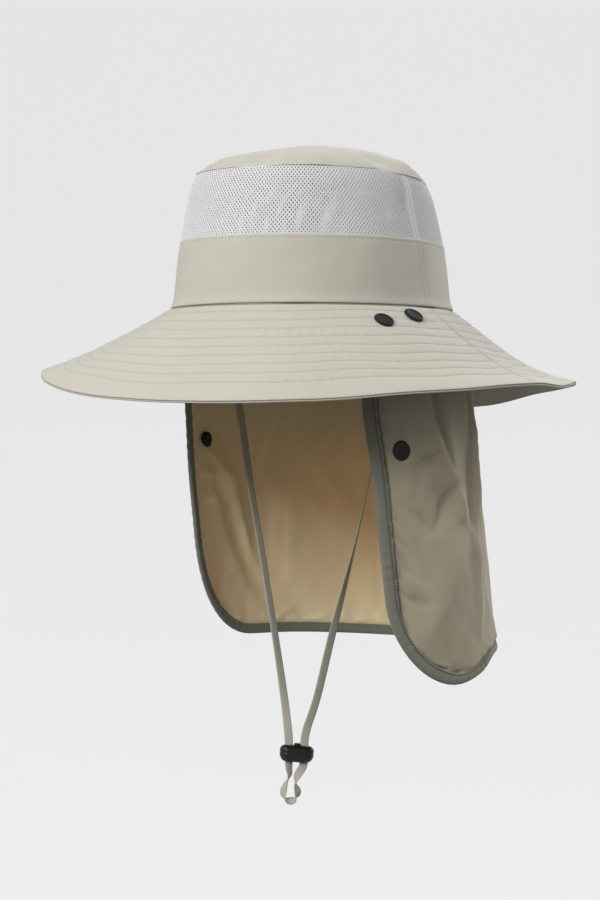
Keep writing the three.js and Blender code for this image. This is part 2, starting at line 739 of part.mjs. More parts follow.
const meshBottom = sideBandHeight;
const meshTop = bandsHeight - seamGap;
const sideBandTop = sideBandHeight - seamGap;
for (const [half, columns] of [['front', frontColumns], ['back', backColumns]]) {
  addPiece(`mesh_${half}`, bandGeometry(columns, meshBottom, meshTop), meshCloth);
  addPiece(`side_band_${half}`, bandGeometry(columns, 0, sideBandTop), khakiCloth);
}

for (const [half, columns, side] of [['front', frontColumns, -1], ['back', backColumns, 1]]) {
  const seats = brimSnapSeats.filter((seat) => seat.point.y * side > 0);
  const holes = seats.map((seat) => holeCutter(seat, 4 * brimWall));
  addPiece(`brim_${half}`, cutBy(brimGeometry(columns), holes), khakiCloth);
}

const flapHoles = flapSnapSeats.map((seat) => holeCutter(seat, 6 * flapWall));
addPiece('neck_flap', cutBy(flapGeometry(), flapHoles), flapCloth);
addPiece('flap_binding', bindingGeometry(), bindingTape);

function addSnap(seat, clothThickness, puff) {
  const snap = addPiece(seat.name, snapGeometry(clothThickness, puff), blackPlastic);
  snap.position.copy(seat.point);
  snap.quaternion.copy(seat.turn);
}

brimSnapSeats.forEach((seat) => addSnap(seat, brimWall, quiltPuff));
flapSnapSeats.forEach((seat) => addSnap(seat, flapWall, 0));

addPiece('chin_strap', strapGeometry(), strapTape);

const toggle = addPiece('strap_toggle', toggleGeometry(), blackPlastic);
toggle.position.copy(toggleCentre);
toggle.rotation.z = toggleTurn * degrees;

export default hat;
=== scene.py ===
"""Bucket hat with a neck flap: its cloth, stitching, snaps, chin strap and studio.

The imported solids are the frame. Every piece made here is a surface of two parameters, worked out
as whole arrays, in metres: +Z up, the hat's front towards -Y, the wearer's left towards +X and
the origin in the middle of the head opening.
"""
import math

import bmesh
import bpy
import numpy as np
from bpy.props import FloatProperty, FloatVectorProperty, IntProperty, PointerProperty
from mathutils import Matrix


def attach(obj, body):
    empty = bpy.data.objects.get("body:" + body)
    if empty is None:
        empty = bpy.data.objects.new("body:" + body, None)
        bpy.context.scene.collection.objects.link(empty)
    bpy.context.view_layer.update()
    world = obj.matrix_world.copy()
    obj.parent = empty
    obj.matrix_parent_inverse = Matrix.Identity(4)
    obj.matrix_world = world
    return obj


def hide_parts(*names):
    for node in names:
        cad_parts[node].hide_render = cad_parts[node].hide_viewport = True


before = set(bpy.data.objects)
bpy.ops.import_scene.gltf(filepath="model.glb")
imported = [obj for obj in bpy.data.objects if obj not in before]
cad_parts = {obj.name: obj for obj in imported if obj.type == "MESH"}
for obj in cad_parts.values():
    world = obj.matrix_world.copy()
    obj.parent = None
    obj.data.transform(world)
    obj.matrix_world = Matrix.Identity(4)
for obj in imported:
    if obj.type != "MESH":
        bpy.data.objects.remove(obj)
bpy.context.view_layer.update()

bl_info = {
    "name": "Bucket hat with neck flap",
    "version": (1, 0, 0),
    "blender": (4, 5, 0),
    "location": "3D View > Sidebar > Hat",
    "description": "Dresses the hat's solids in cloth, mesh, stitching, snaps and a chin strap",
    "category": "Add Mesh",
}

MM = 0.001
QUARTER = math.pi / 2
WELD = 1e-6

# The photo's camera, as recovered from it: how far round from the front it stands, towards the
# wearer's left, and then how far away, to the right and up it is from the origin, in metres.
VIEW_TURN = math.radians(34.4)
VIEW_AWAY, VIEW_RIGHT, VIEW_UP = 1.719, -0.0079, -0.091
FLOOR_DROP = 0.95

# The dome stands fuller towards the photo's right, which in plan is this way.
DOME_LEAN_WAY = (0.825, 0.565)

# The brim's sag: the power of the reach in its sine, which leans it towards the edge. Then how
# far the brim's surface starts below the seam, and where its cloth's top face lies off it.
SAG_SKEW = 1.4
BRIM_SEAT = 0.3 * MM
BRIM_TOP = -0.15 * MM

# Where the two faces of the flap's cloth lie off the flap's surface.
FLAP_OUTER, FLAP_INNER = -0.2 * MM, -0.95 * MM

# The crown's outline from the brim seam up: share of the bands' height, and how far the wall
# has come in as a share of the head's half width.
CROWN_PROFILE = (
    (0, 0), (0.07, 0.0225), (0.23, 0.0405), (0.38, 0.061), (0.5, 0.0825),
    (0.67, 0.113), (0.83, 0.142), (0.93, 0.169), (1, 0.1985),
)

# The brim round the hat: degrees from the front towards the wearer's left, then the edge's drop
# and the middle's sag as shares of the brim's width.
BRIM_SHAPE = (
    (-140, 0.5, 0), (-100, 0.43, 0.02), (-56, 0.402, 0.02), (-40, 0.485, 0.024),
    (-25, 0.557, 0.016), (-10, 0.625, 0.012), (10, 0.656, 0.005), (30, 0.643, 0),
    (50, 0.602, 0.005), (70, 0.562, 0.035), (90, 0.521, 0.055), (105, 0.535, 0.066),
    (122, 0.499, 0.073), (140, 0.51, 0.055), (155, 0.538, 0.03), (170, 0.62, 0),
    (190, 0.637, 0),
)

# The flap's front edges: depth below the seam as a share of its length, then the degrees from
# the front at which its left and right edges lie.
FLAP_EDGES = (
    (0, 60, 300), (0.115, 57, 295), (0.277, 53.7, 288), (0.476, 57, 284),
    (0.702, 59.5, 277), (0.878, 61.5, 273), (1.085, 64, 270),
)

# How far the flap stands out from its seam at five places from its left edge to its right one,
# after the depth. All are shares of its length.
FLAP_STANDS = (
    (0, 0, 0, 0, 0, 0),
    (0.115, 0.01, 0.045, 0.019, 0.01, 0),
    (0.277, 0.023, 0.075, 0.033, 0.014, 0),
    (0.476, 0.033, 0.084, 0.051, 0.023, 0.001),
    (0.702, 0.047, 0.109, 0.07, 0.033, 0.005),
    (0.878, 0.056, 0.13, 0.083, 0.047, 0.01),
    (1.085, 0.065, 0.148, 0.093, 0.056, 0.014),
)

# The flap's hem before its corners are rounded: share of the way round, share of its length.
FLAP_HEM = (
    (0, 1.081), (0.07, 1.102), (0.13, 1.1), (0.19, 1.072), (0.25, 1.026), (0.4, 1.012),
    (0.55, 1.009), (0.75, 0.998), (0.88, 0.997), (1, 0.975),
)

# Rounded lower corners of the flap: along and deep, as shares of its length, and the power of
# their outline.
LEFT_CORNER = (0.268, 0.24, 2.25)
RIGHT_CORNER = (0.277, 0.296, 2)

# Folds of the flap, which the solid has too: from (share round, depth) to (share round, depth),
# width and height.
FLAP_FOLDS = (
    (0.15, 0.2, 0.185, 0.72, 0.04, 0.016),
    (0.23, 0.2, 0.25, 0.95, 0.035, 0.014),
    (0.11, 0.5, 0.16, 0.62, 0.045, -0.014),
    (0.45, 0.2, 0.43, 1.0, 0.09, 0.018),
    (0.65, 0.25, 0.66, 0.95, 0.08, -0.014),
    (0.93, 0.42, 0.82, 0.9, 0.035, 0.024),
)

# Sharper folds of the cloth alone: from (share round, depth) to (share round, depth), the width
# of the side towards the wearer's left and of the other side, and the height.
FLAP_CREASES = (
    (0.085, 0.16, 0.136, 0.42, 0.09, 0.022, 0.024), (0.125, 0.34, 0.188, 0.62, 0.07, 0.02, 0.02),
    (0.13, 0.22, 0.168, 0.55, 0.02, 0.025, -0.016), (0.188, 0.54, 0.226, 0.8, 0.025, 0.02, 0.012),
    (0.172, 0.5, 0.098, 0.66, 0.022, 0.034, -0.018), (0.11, 0.46, 0.075, 0.6, 0.03, 0.03, 0.009),
    (0.262, 0.26, 0.228, 0.6, 0.014, 0.02, 0.015), (0.23, 0.5, 0.2, 1.0, 0.016, 0.02, 0.012),
    (0.248, 0.22, 0.2, 0.7, 0.018, 0.018, -0.011), (0.19, 0.66, 0.055, 1.0, 0.08, 0.035, 0.016),
    (0.03, 0.78, 0.1, 0.845, 0.014, 0.014, 0.006), (0.03, 0.84, 0.085, 0.865, 0.012, 0.012, -0.005),
    (0.068, 0.54, 0.096, 0.68, 0.03, 0.03, -0.007), (0.075, 0.34, 0.05, 0.62, 0.02, 0.04, 0.006),
    (0.95, 0.39, 0.856, 0.53, 0.016, 0.07, -0.018), (0.87, 0.47, 0.834, 0.79, 0.015, 0.08, -0.02),
    (0.75, 0.3, 0.797, 0.47, 0.014, 0.012, -0.005), (0.735, 0.48, 0.765, 0.85, 0.05, 0.03, -0.008),
    (0.785, 0.5, 0.81, 0.95, 0.03, 0.05, 0.006), (0.972, 0.49, 0.9, 0.496, 0.012, 0.012, -0.007),
    (0.97, 0.575, 0.905, 0.566, 0.012, 0.014, -0.007), (0.615, 0.22, 0.595, 0.45, 0.03, 0.03, 0.009),
    (0.34, 0.2, 0.35, 0.97, 0.05, 0.05, 0.014), (0.395, 0.3, 0.39, 0.98, 0.03, 0.04, -0.01),
    (0.53, 0.22, 0.545, 0.98, 0.05, 0.04, -0.012), (0.5, 0.5, 0.49, 0.98, 0.03, 0.03, 0.008),
    (0.29, 0.4, 0.31, 0.98, 0.03, 0.03, -0.009), (0.6, 0.45, 0.61, 0.98, 0.03, 0.03, 0.008),
)

# The strap's centreline in metres, the direction of its width in plan in degrees from +X, and how
# far that width is tilted up.
STRAP_ROUTE = (
    (-0.0821, 0.0118, 0.0015, 82, 0), (-0.0805, 0.0114, -0.014, 80, 0),
    (-0.0735, 0.0098, -0.037, 70, 0), (-0.064, 0.0075, -0.062, 62, 0),
    (-0.0505, 0.0022, -0.116, 72, 0), (-0.0388, -0.0019, -0.159, 75, 0),
    (-0.0248, -0.007, -0.212, 72, 0), (-0.0149, -0.011, -0.251, 55, 0),
    (-0.0094, -0.0144, -0.272, 38, 0), (-0.0082, -0.0149, -0.281, 34.4, 0),
    (-0.0082, -0.0149, -0.289, 34.4, 0), (-0.0082, -0.0149, -0.297, 66, 0),
    (-0.0078, -0.0146, -0.303, 96, 0), (-0.0098, -0.016, -0.3085, 150, 0),
    (-0.0112, -0.0168, -0.3135, 176, 0), (-0.0104, -0.0164, -0.3178, 150, 20),
    (-0.0072, -0.0143, -0.3198, 124, 62), (-0.0044, -0.0124, -0.3178, 90, 40),
    (-0.0034, -0.0117, -0.3135, 72, 8), (-0.0046, -0.0125, -0.3085, 118, 0),
    (-0.0032, -0.0116, -0.3025, 192, 0), (-0.0006, -0.0096, -0.297, 208, 0),
    (0.0002, -0.0091, -0.289, 214.4, 0), (0.0002, -0.0091, -0.281, 214.4, 0),
    (0.0022, -0.009, -0.272, 222, 0), (0.0096, -0.008, -0.251, 232, 0),
    (0.0208, -0.0077, -0.211, 240, 0), (0.0371, -0.0067, -0.155, 288, 0),
    (0.0508, -0.0064, -0.103, 302, 0), (0.0645, -0.0056, -0.055, 292, 0),
    (0.076, -0.004, -0.026, 276, 0), (0.0815, -0.003, -0.008, 270, 0),
    (0.083, -0.0029, 0.0015, 268, 0),
)

# Snaps: node, degrees from the front and reach as a share of the brim's width.
BRIM_SNAPS = (
    ("brim_snap_left_1", 58, 0.195), ("brim_snap_right_1", -68, 0.195),
    ("brim_snap_left_2", 73.7, 0.126), ("brim_snap_right_2", -83.5, 0.126),
)

# Snaps: node, distance from the left edge (or from the right one, if negative) and depth, as
# shares of the flap's length.
FLAP_SNAPS = (("flap_snap_left", 0.1, 0.4226), ("flap_snap_right", -0.12, 0.387))


def length_property(name, description, default):
    """A length in metres that isn't below nought."""
    return FloatProperty(name=name, description=description, default=default, min=0, unit="LENGTH")


def colour_property(name, description, default):
    """A linear colour of red, green and blue."""
    return FloatVectorProperty(
        name=name, description=description, default=default, size=3, min=0, max=1, subtype="COLOR"
    )


class HatSizes(bpy.types.PropertyGroup):
    """Sizes of the hat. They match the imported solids"""

    half_width: length_property("Half width", "Half the head opening, ear to ear", 0.0887)
    half_length: length_property("Half length", "Half the head opening, front to back", 0.101)
    band_height: length_property("Side band height", "Cloth band above the brim", 0.0435)
    mesh_height: length_property("Mesh band height", "Mesh band above the side band", 0.0435)
    eyelet_pitch: length_property("Eyelet pitch", "From one column of the mesh's holes to the next", 0.0014)
    dome_rise: length_property("Dome rise", "Height of the domed top above the mesh", 0.0182)
    dome_fullness: FloatProperty(
        name="Dome fullness", description="Power of the dome's outline", default=3.1, min=1
    )
    dome_shoulder: FloatProperty(
        name="Dome shoulder", description="How upright the dome starts at its rim", default=1.12, min=1
    )
    dome_lean: FloatProperty(
        name="Dome lean", description="How much higher the dome is on its fuller side", default=0.24, min=0
    )
    brim_width: length_property("Brim width", "From the seam to the edge, along the cloth", 0.093)
    brim_wall: length_property("Brim thickness", "Top face to underside", 0.0019)
    quilt_first: length_property("First quilting row", "Its distance from the seam", 0.007)
    quilt_pitch: length_property("Quilting pitch", "Distance between two rows", 0.0087)
    quilt_rows: IntProperty(name="Quilting rows", description="Rows of stitches", default=9, min=1)
    quilt_puff: length_property("Quilting puff", "How far the cloth swells between rows", 0.0003)
    flap_length: length_property("Flap length", "From the seam to the hem at the back", 0.2165)
    flap_seat: length_property("Flap seat", "How far inside the crown's face it is sewn", 0.0024)
    binding_width: length_property("Binding width", "Width of the folded tape", 0.008)
    strap_width: length_property("Strap width", "Width of the chin strap's tape", 0.0054)
    strap_thickness: length_property("Strap thickness", "Thickness of the tape", 0.0011)
    strap_length: length_property("Strap length", "From one end to the other", 0.68)
    snap_radius: length_property("Snap radius", "Radius of a snap's cap", 0.0065)
    toggle_length: length_property("Cord lock length", "Length of the bead", 0.0225)
    toggle_depth: length_property("Cord lock depth", "Front to back of the bead", 0.012)
    toggle_height: length_property("Cord lock height", "Height of the bead", 0.011)


class HatColours(bpy.types.PropertyGroup):
    """Colours of the hat's finishes, linear"""

    khaki: colour_property("Khaki cloth", "Crown, side band and brim", (0.48, 0.457, 0.387))
    mesh: colour_property("Mesh cloth", "Ventilation band", (0.67, 0.67, 0.67))
    flap: colour_property("Flap outside", "Outer face of the neck flap", (0.40, 0.355, 0.248))
    # Painted light: the inner face is the same cloth as the outer one, drawn lighter and warmer for the light
    # that comes through it.
    flap_inside_lit: colour_property("Flap inside", "Inner face, warm with light", (0.80, 0.69, 0.48))
    binding: colour_property("Binding", "Folded tape round the flap", (0.19, 0.187, 0.147))
    strap: colour_property("Strap", "Chin strap's tape", (0.45, 0.425, 0.355))
    thread: colour_property("Thread", "Topstitching", (0.58, 0.555, 0.48))
    plastic: colour_property("Plastic", "Snaps and cord lock", (0.007, 0.0073, 0.008))
    floor: colour_property("Floor", "Studio floor, which glows a little too", (0.30, 0.30, 0.305))


def table_value(rows, column, at, period=None):
    """A smooth curve through a table whose first column is the key.

    Cubic between two rows, with each row's slope taken between its neighbours; straight beyond
    the ends, or repeating after `period`.
    """
    rows = np.asarray(rows, float)
    keys, values = rows[:, 0], rows[:, column]
    at = np.asarray(at, float)
    if period:
        keys = np.concatenate((keys[-2:] - period, keys, keys[:2] + period))
        values = np.concatenate((values[-2:], values, values[:2]))
        at = (at - keys[2]) % period + keys[2]
    slopes = np.gradient(values)
    slopes[1:-1] = (values[2:] - values[:-2]) / (keys[2:] - keys[:-2])
    slopes[0] = (values[1] - values[0]) / (keys[1] - keys[0])
    slopes[-1] = (values[-1] - values[-2]) / (keys[-1] - keys[-2])
    i = np.clip(np.searchsorted(keys, at, side="right") - 1, 0, len(keys) - 2)
    span = keys[i + 1] - keys[i]
    t = np.clip((at - keys[i]) / span, 0, 1)
    blend = t * t * (3 - 2 * t)
    between = values[i] * (1 - blend) + values[i + 1] * blend
    leaving, arriving = t * (1 - t) ** 2 * slopes[i], t * t * (t - 1) * slopes[i + 1]
    beyond = np.minimum(at - keys[0], 0) * slopes[0] + np.maximum(at - keys[-1], 0) * slopes[-1]
    return between + span * (leaving + arriving) + beyond


def smoothed(rows, count):
    """Each column of a table as `count` values of a smooth curve through its rows."""
    numbered = np.column_stack((np.arange(len(rows)), rows))
    at = np.linspace(0, len(rows) - 1, count)
    return [table_value(numbered, column, at) for column in range(1, numbered.shape[1])]


def smooth_step(x, low, high):
    """0 below `low`, 1 above `high`, and 3t^2 - 2t^3 between them."""
    t = np.clip((x - low) / (high - low), 0, 1)
    return t * t * (3 - 2 * t)


def bell(distance, width):
    """1 at nought, falling as e to the power of minus the square of distance over width."""
    return np.exp(-((distance / width) ** 2))


def boxed(wave, power):
    """A sine or cosine made squarer: its sign times its size to a power below one."""
    return np.sign(wave) * np.abs(wave) ** power


def ripple(points, seed, size, count=10):
    """Soft seeded noise of height 1: the sum of sine waves about `size` long in all directions."""
    dice = np.random.default_rng(seed)
    total = np.zeros(points.shape[:-1])
    for _ in range(count):
        way = dice.normal(size=points.shape[-1])
        way *= 2 * math.pi / (size * dice.uniform(0.7, 1.7) * np.linalg.norm(way))
        total += np.sin(points @ way + dice.uniform(0, 2 * math.pi))
    return total * math.sqrt(2 / count)


def grid(u, v):
    """Two parameters as columns and rows."""
    return np.meshgrid(np.asarray(u, float), np.asarray(v, float), indexing="ij")


def unit(vectors):
    """Each vector over its own length."""
    return vectors / np.linalg.norm(vectors, axis=-1, keepdims=True)


def normals_of(surface, u, v, step=1e-5):
    """Directions that face out of a surface: across it times up it."""
    across = surface(u + step, v) - surface(u - step, v)
    up = surface(u, v + step) - surface(u, v - step)
    return unit(np.cross(across, up))


def upward(surface):
    """A surface with its second parameter reversed, so that its normals face out of the hat."""
    return lambda u, v: surface(u, -v)


def distance_along(points):
    """How far along a polyline each of its points lies."""
    steps = np.linalg.norm(np.diff(points, axis=0), axis=1)
    return np.concatenate(([0], np.cumsum(steps)))


def read_at(places, along, columns):
    """Columns of numbers that go with `along`, read at other places by straight steps."""
    return np.stack([np.interp(places, along, column) for column in columns.T], -1)


def even_places(along, pitch):
    """Evenly spaced distances along a line, about `pitch` apart."""
    return np.linspace(0, along[-1], max(2, int(round(along[-1] / pitch)) + 1))


class HatForm:
    """The hat's surfaces, from its sizes. Turns are in radians from the front."""

    def __init__(self, sizes):
        self.s = sizes
        self.bands = sizes.band_height + sizes.mesh_height
        lines = sizes.quilt_first + sizes.quilt_pitch * np.arange(sizes.quilt_rows)
        self.quilt_lines = np.concatenate(([0], lines, [sizes.brim_width]))
        turns = np.linspace(-QUARTER, 3 * QUARTER, 2001)
        self.turns = turns
        self.arcs = distance_along(self.place(turns, 0, 0))
        sewn = np.radians(np.linspace(FLAP_EDGES[0][1], FLAP_EDGES[0][2], 181))
        self.flap_width = distance_along(self.place(sewn, 0, 0))[-1]

    def turn_at(self, arc):
        """The turn at a distance along the seam from the wearer's right ear."""
        return np.interp(arc, self.arcs, self.turns)

    def place(self, turn, outward, height):
        """A point `outward` of the seam's ellipse, square to it, level with `height`."""
        a, b = self.s.half_width, self.s.half_length
        sine, cosine = np.sin(turn), np.cos(turn)
        radius = 1 / np.hypot(sine / a, cosine / b)
        way = unit(np.stack((sine / a**2, -cosine / b**2), -1))
        x = radius * sine + way[..., 0] * outward
        y = -radius * cosine + way[..., 1] * outward
        return np.stack(np.broadcast_arrays(x, y, height + 0 * x), -1)

    def inset(self, height):
        """How far the wall has come in at a height: the profile's share times the half width."""
        return self.s.half_width * table_value(CROWN_PROFILE, 1, height / self.bands)

    def rim_dip(self, turn):
        """How far the bands' top hangs down: most behind the left ear, at 124 degrees."""
        away = (turn - math.radians(124) + math.pi) % (2 * math.pi) - math.pi
        return 3.6 * MM * bell(away, 0.7)

    def wall(self, turn, height, lift=0):
        """The crown's side: the seam oval moved in by the inset at that height."""
        dip = self.rim_dip(turn) * np.clip(height / self.bands, 0, 1.1) ** 3
        return self.place(turn, lift - self.inset(height), height - dip)

    def dome(self, turn, share, lift=0):
        """The top: the rim shrunk to `share`, rising by 1 - share to the power of fullness, of
        which the shoulder's root is taken, and a little more towards the wearer's left."""
        power, shoulder = self.s.dome_fullness, self.s.dome_shoulder
        rim = self.place(turn, -self.inset(self.bands), 0)
        fuller = (rim[..., :2] @ DOME_LEAN_WAY) / self.s.half_length * share
        rise = self.s.dome_rise * (1 + self.s.dome_lean * fuller)
        left = np.maximum(1 - np.abs(share) ** power, 0)
        slope = rise / shoulder * np.maximum(left, 0.03) ** (1 / shoulder - 1)
        slope = slope * power * np.abs(share) ** (power - 1)
        reach = np.linalg.norm(rim, axis=-1)
        size = np.hypot(slope, reach)
        point = rim * (share + lift * slope / size / reach)[..., None]
        height = self.bands + rise * left ** (1 / shoulder) - self.rim_dip(turn) * share**2
        point[..., 2] = height + lift * reach / size
        return point

    def brim(self, turn, reach, lift=0):
        """The brim: a straight slope from seam to edge, dipped by a sine of its sag."""
        width = self.s.brim_width
        degrees = np.degrees(turn)
        drop = width * table_value(BRIM_SHAPE, 1, degrees, 360)
        sag = width * table_value(BRIM_SHAPE, 2, degrees, 360)
        run = np.sqrt(width**2 - drop**2)
        share = reach / width
        off = lift - sag * np.sin(math.pi * np.clip(share, 0, 1) ** SAG_SKEW)
        height = -BRIM_SEAT - drop * share + off * run / width
        return self.place(turn, run * share + off * drop / width, height)

    def hem(self, along):
        """Depth of the flap's hem, its corners rounded by quarters of fuller ellipses."""
        length = self.s.flap_length
        depth = length * table_value(FLAP_HEM, 1, along / self.flap_width)
        corners = ((LEFT_CORNER, along), (RIGHT_CORNER, self.flap_width - along))
        for (wide, deep, power), distance in corners:
            share = np.clip(1 - distance / (wide * length), 0, 1)
            depth = depth - deep * length * (1 - (1 - share**power) ** (1 / power))
        return depth

    def narrowing(self, along):
        """Share of its width that the binding shows: less where the near corner curls under."""
        share = along / self.flap_width
        return 1 - 0.38 * smooth_step(share, 0.07, 0.17) * smooth_step(0.4 - share, 0, 0.1)

    def beside_fold(self, along, depth, ends):
        """Where a point lies beside a fold's line: the share along it, the distance from it, and
        whether it is on the side towards the wearer's left."""
        length, width = self.s.flap_length, self.flap_width
        u0, d0, u1, d1 = ends
        x, y = along - u0 * width, depth - d0 * length
        dx, dy = (u1 - u0) * width, (d1 - d0) * length
        share = np.clip((x * dx + y * dy) / (dx * dx + dy * dy), 0, 1)
        return share, np.hypot(x - dx * share, y - dy * share), dx * y > dy * x

    def flap_lift(self, along, depth):
        """Folds: a bump along each fold's line, a bell curve across it and a sine along it,
        dying out towards the flap's edges."""
        length, width = self.s.flap_length, self.flap_width
        lift = np.zeros(np.broadcast(along, depth).shape)
        for *ends, wide, high in FLAP_FOLDS:
            share, distance, _ = self.beside_fold(along, depth, ends)
            lift += high * length * bell(distance, wide * length) * np.sin(math.pi * share)
        free, full = 0.03 * length, 0.17 * length
        mask = smooth_step(along, free, full) * smooth_step(width - along, free, full)
        return lift * mask * smooth_step(self.hem(along) - depth, free, full) * smooth_step(depth, free, full)

    def flap(self, along, depth, lift=0):
        """The flap: `along` from its left front edge, `depth` below the seam, swung out from
        the seam by the table of stands and its folds. Above the seam it lines the side band."""
        length = self.s.flap_length
        share, deep = along / self.flap_width, np.maximum(depth, 0) / length
        left, right = (table_value(FLAP_EDGES, column, deep) for column in (1, 2))
        stands = np.stack([table_value(FLAP_STANDS, column, deep) for column in range(1, 6)], -1)
        stand = length * across_five(share, stands)
        stand = np.where(depth < 0, -self.inset(np.maximum(-depth, 0)), stand)
        out = stand - self.s.flap_seat + self.flap_lift(along, depth) + lift
        return self.place(np.radians(left + (right - left) * share), out, -depth)


def across_five(share, stands):
    """A cubic curve through five evenly spaced values, one set for each point."""
    slopes = np.gradient(stands, axis=-1)
    i = np.clip((share * 4).astype(int), 0, 3)
    t = np.clip(share * 4 - i, 0, 1)

    def pick(values, at):
        at = np.broadcast_to(at, values.shape[:-1])
        return np.take_along_axis(values, at[..., None], -1)[..., 0]

    blend = t * t * (3 - 2 * t)
    curve = pick(stands, i) * (1 - blend) + pick(stands, i + 1) * blend
    return curve + t * (1 - t) ** 2 * pick(slopes, i) + t * t * (t - 1) * pick(slopes, i + 1)


# Skins: a piece is one or more skins, each a dict of points, faces, uv, the number of its finish, and for
# each point how much painted shade its crease gets, painted light where below nought.

def grid_skin(points, uv, finish=0, flip=False, crease_shade=0.0):
    """Quads over a grid of points, facing across x up, or the other way if flipped."""
    columns, rows = points.shape[:2]
    i, j = np.meshgrid(np.arange(columns - 1), np.arange(rows - 1), indexing="ij")
    a = i * rows + j
    quads = np.stack((a, a + rows, a + rows + 1, a + 1), -1).reshape(-1, 4)
    quads = quads[:, ::-1] if flip else quads
    uv = np.stack(np.broadcast_arrays(*uv), -1).reshape(-1, 2)
    crease_shade = np.broadcast_to(crease_shade, (columns, rows)).ravel()
    return {"points": points.reshape(-1, 3), "faces": quads, "uv": uv, "finish": finish, "crease_shade": crease_shade}


def loose_skin(points, faces, uv, finish=0):
    """Points and faces that are worked out already."""
    return {"points": points, "faces": faces, "uv": uv, "finish": finish, "crease_shade": np.zeros(len(points))}


def cap_skin(loop):
    """One face over a closed loop of points."""
    return loose_skin(loop, np.arange(len(loop))[None], np.zeros((len(loop), 2)))


def carried_skins(points, uv, crease_shade):
    """A closed outline carried along the first axis, with a cap at either end."""
    return [grid_skin(points, uv, crease_shade=crease_shade), cap_skin(points[0, -2::-1]), cap_skin(points[-1, :-1])]


def new_object(name, data):
    """An object at the origin, in the scene's own collection."""
    made = bpy.data.objects.new(name, data)
    bpy.context.scene.collection.objects.link(made)
    return made


def weld_points(mesh, face_out=False):
    """Joins equal points, and turns the faces outward if asked."""
    joined = bmesh.new()
    joined.from_mesh(mesh)
    bmesh.ops.remove_doubles(joined, verts=joined.verts, dist=WELD)
    if face_out:
        bmesh.ops.recalc_face_normals(joined, faces=joined.faces)
    joined.to_mesh(mesh)
    joined.free()


def smooth_faces(mesh, sharp=None):
    """Shades all faces smooth, and edges past an angle in degrees sharp."""
    mesh.polygons.foreach_set("use_smooth", np.ones(len(mesh.polygons), bool))
    if sharp:
        mesh.set_sharp_from_angle(angle=math.radians(sharp))


def add_piece(name, skins, materials, stands_for=(), sharp=55, weld=True):
    """Joins skins into one mesh, welds equal points and hangs it on the hat's body.

    `stands_for` names the solids that the piece takes the place of, and `sharp` is the angle in
    degrees past which an edge isn't smoothed.
    """
    points, faces, uv, finishes, crease_shades, first = [], [], [], [], [], 0
    for skin in skins:
        points.append(skin["points"])
        faces.extend((skin["faces"] + first).tolist())
        uv.append(skin["uv"][skin["faces"].ravel()])
        finishes.append(np.full(len(skin["faces"]), skin["finish"]))
        crease_shades.append(skin["crease_shade"])
        first += len(skin["points"])
    mesh = bpy.data.meshes.new(name)
    mesh.from_pydata(np.concatenate(points), [], faces)
    mesh.uv_layers.new(name="cloth").data.foreach_set("uv", np.concatenate(uv).astype(np.float32).ravel())
    mesh.polygons.foreach_set("material_index", np.concatenate(finishes).astype(np.int32))
    # A point attribute of painted shade: how much darker the cloth is drawn in creases, and lighter where
    # below nought.
    crease_shade = mesh.attributes.new("crease_shade", "FLOAT", "POINT")
    crease_shade.data.foreach_set("value", np.concatenate(crease_shades).astype(np.float32))
    if weld:
        weld_points(mesh)
    smooth_faces(mesh, sharp)
    for material in materials:
        mesh.materials.append(material)
    mesh.update()
    piece = new_object(name, mesh)
    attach(piece, "root")
    if stands_for:
        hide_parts(*stands_for)
    return piece


def stitch_skin(path, facing, pitch, length, radius, finish=0):
    """Thread stitches laid end to end along a path.

    Each is a bent four-sided thread: four rings along its length, thin and low at its ends,
    full and raised in its middle.
    """
    along = distance_along(path)
    count = max(1, int(along[-1] / pitch))
    middles = (np.arange(count) + 0.5) * along[-1] / count
    shares = np.array((-0.5, -0.3, 0.3, 0.5))
    fulls = np.array((0.3, 1.0, 1.0, 0.3))
    raises = np.array((-1.0, 0.15, 0.15, -1.0))
    at = middles[:, None] + shares * length

    centre, up = read_at(at, along, path), unit(read_at(at, along, facing))
    ahead = unit(np.gradient(centre, axis=1))
    side = unit(np.cross(ahead, up))
    up = np.cross(side, ahead)
    centre = centre + up * (raises * radius)[None, :, None]
    angles = np.array((0, 1, 2, 3)) * QUARTER + QUARTER / 2
    across = np.cos(angles)[:, None] * side[:, :, None] + np.sin(angles)[:, None] * up[:, :, None]
    rings = centre[:, :, None] + across * (fulls * radius)[None, :, None, None]
    points = rings.reshape(-1, 3)
    ring, corner = np.meshgrid(np.arange(3), np.arange(4), indexing="ij")
    a = ring * 4 + corner
    b = ring * 4 + (corner + 1) % 4
    sides = np.stack((a, a + 4, b + 4, b), -1).reshape(-1, 4)
    ends = np.array(((0, 1, 2, 3), (15, 14, 13, 12)))
    faces = np.concatenate((sides, ends))[None] + 16 * np.arange(count)[:, None, None]
    uv = np.broadcast_to(at[:, :, None, None], (count, 4, 4, 2)).reshape(-1, 2)
    return loose_skin(points, faces.reshape(-1, 4), uv, finish)


class Wiring:
    """Adds nodes to a tree. A socket is set from a number or joined to another one's output."""

    def __init__(self, tree):
        self.tree = tree

    def node(self, kind, sockets=None, **settings):
        """A new node, with its sockets given by name or number and its settings by name."""
        node = self.tree.nodes.new(kind)
        for name, value in settings.items():
            setattr(node, name, value)
        for key, value in (sockets or {}).items():
            if isinstance(value, bpy.types.NodeSocket):
                self.tree.links.new(value, node.inputs[key])
            else:
                node.inputs[key].default_value = value
        return node

    def math(self, operation, first, second=0.0, third=0.0):
        """The outcome of one sum."""
        sockets = {0: first, 1: second, 2: third}
        return self.node("ShaderNodeMath", sockets, operation=operation).outputs[0]


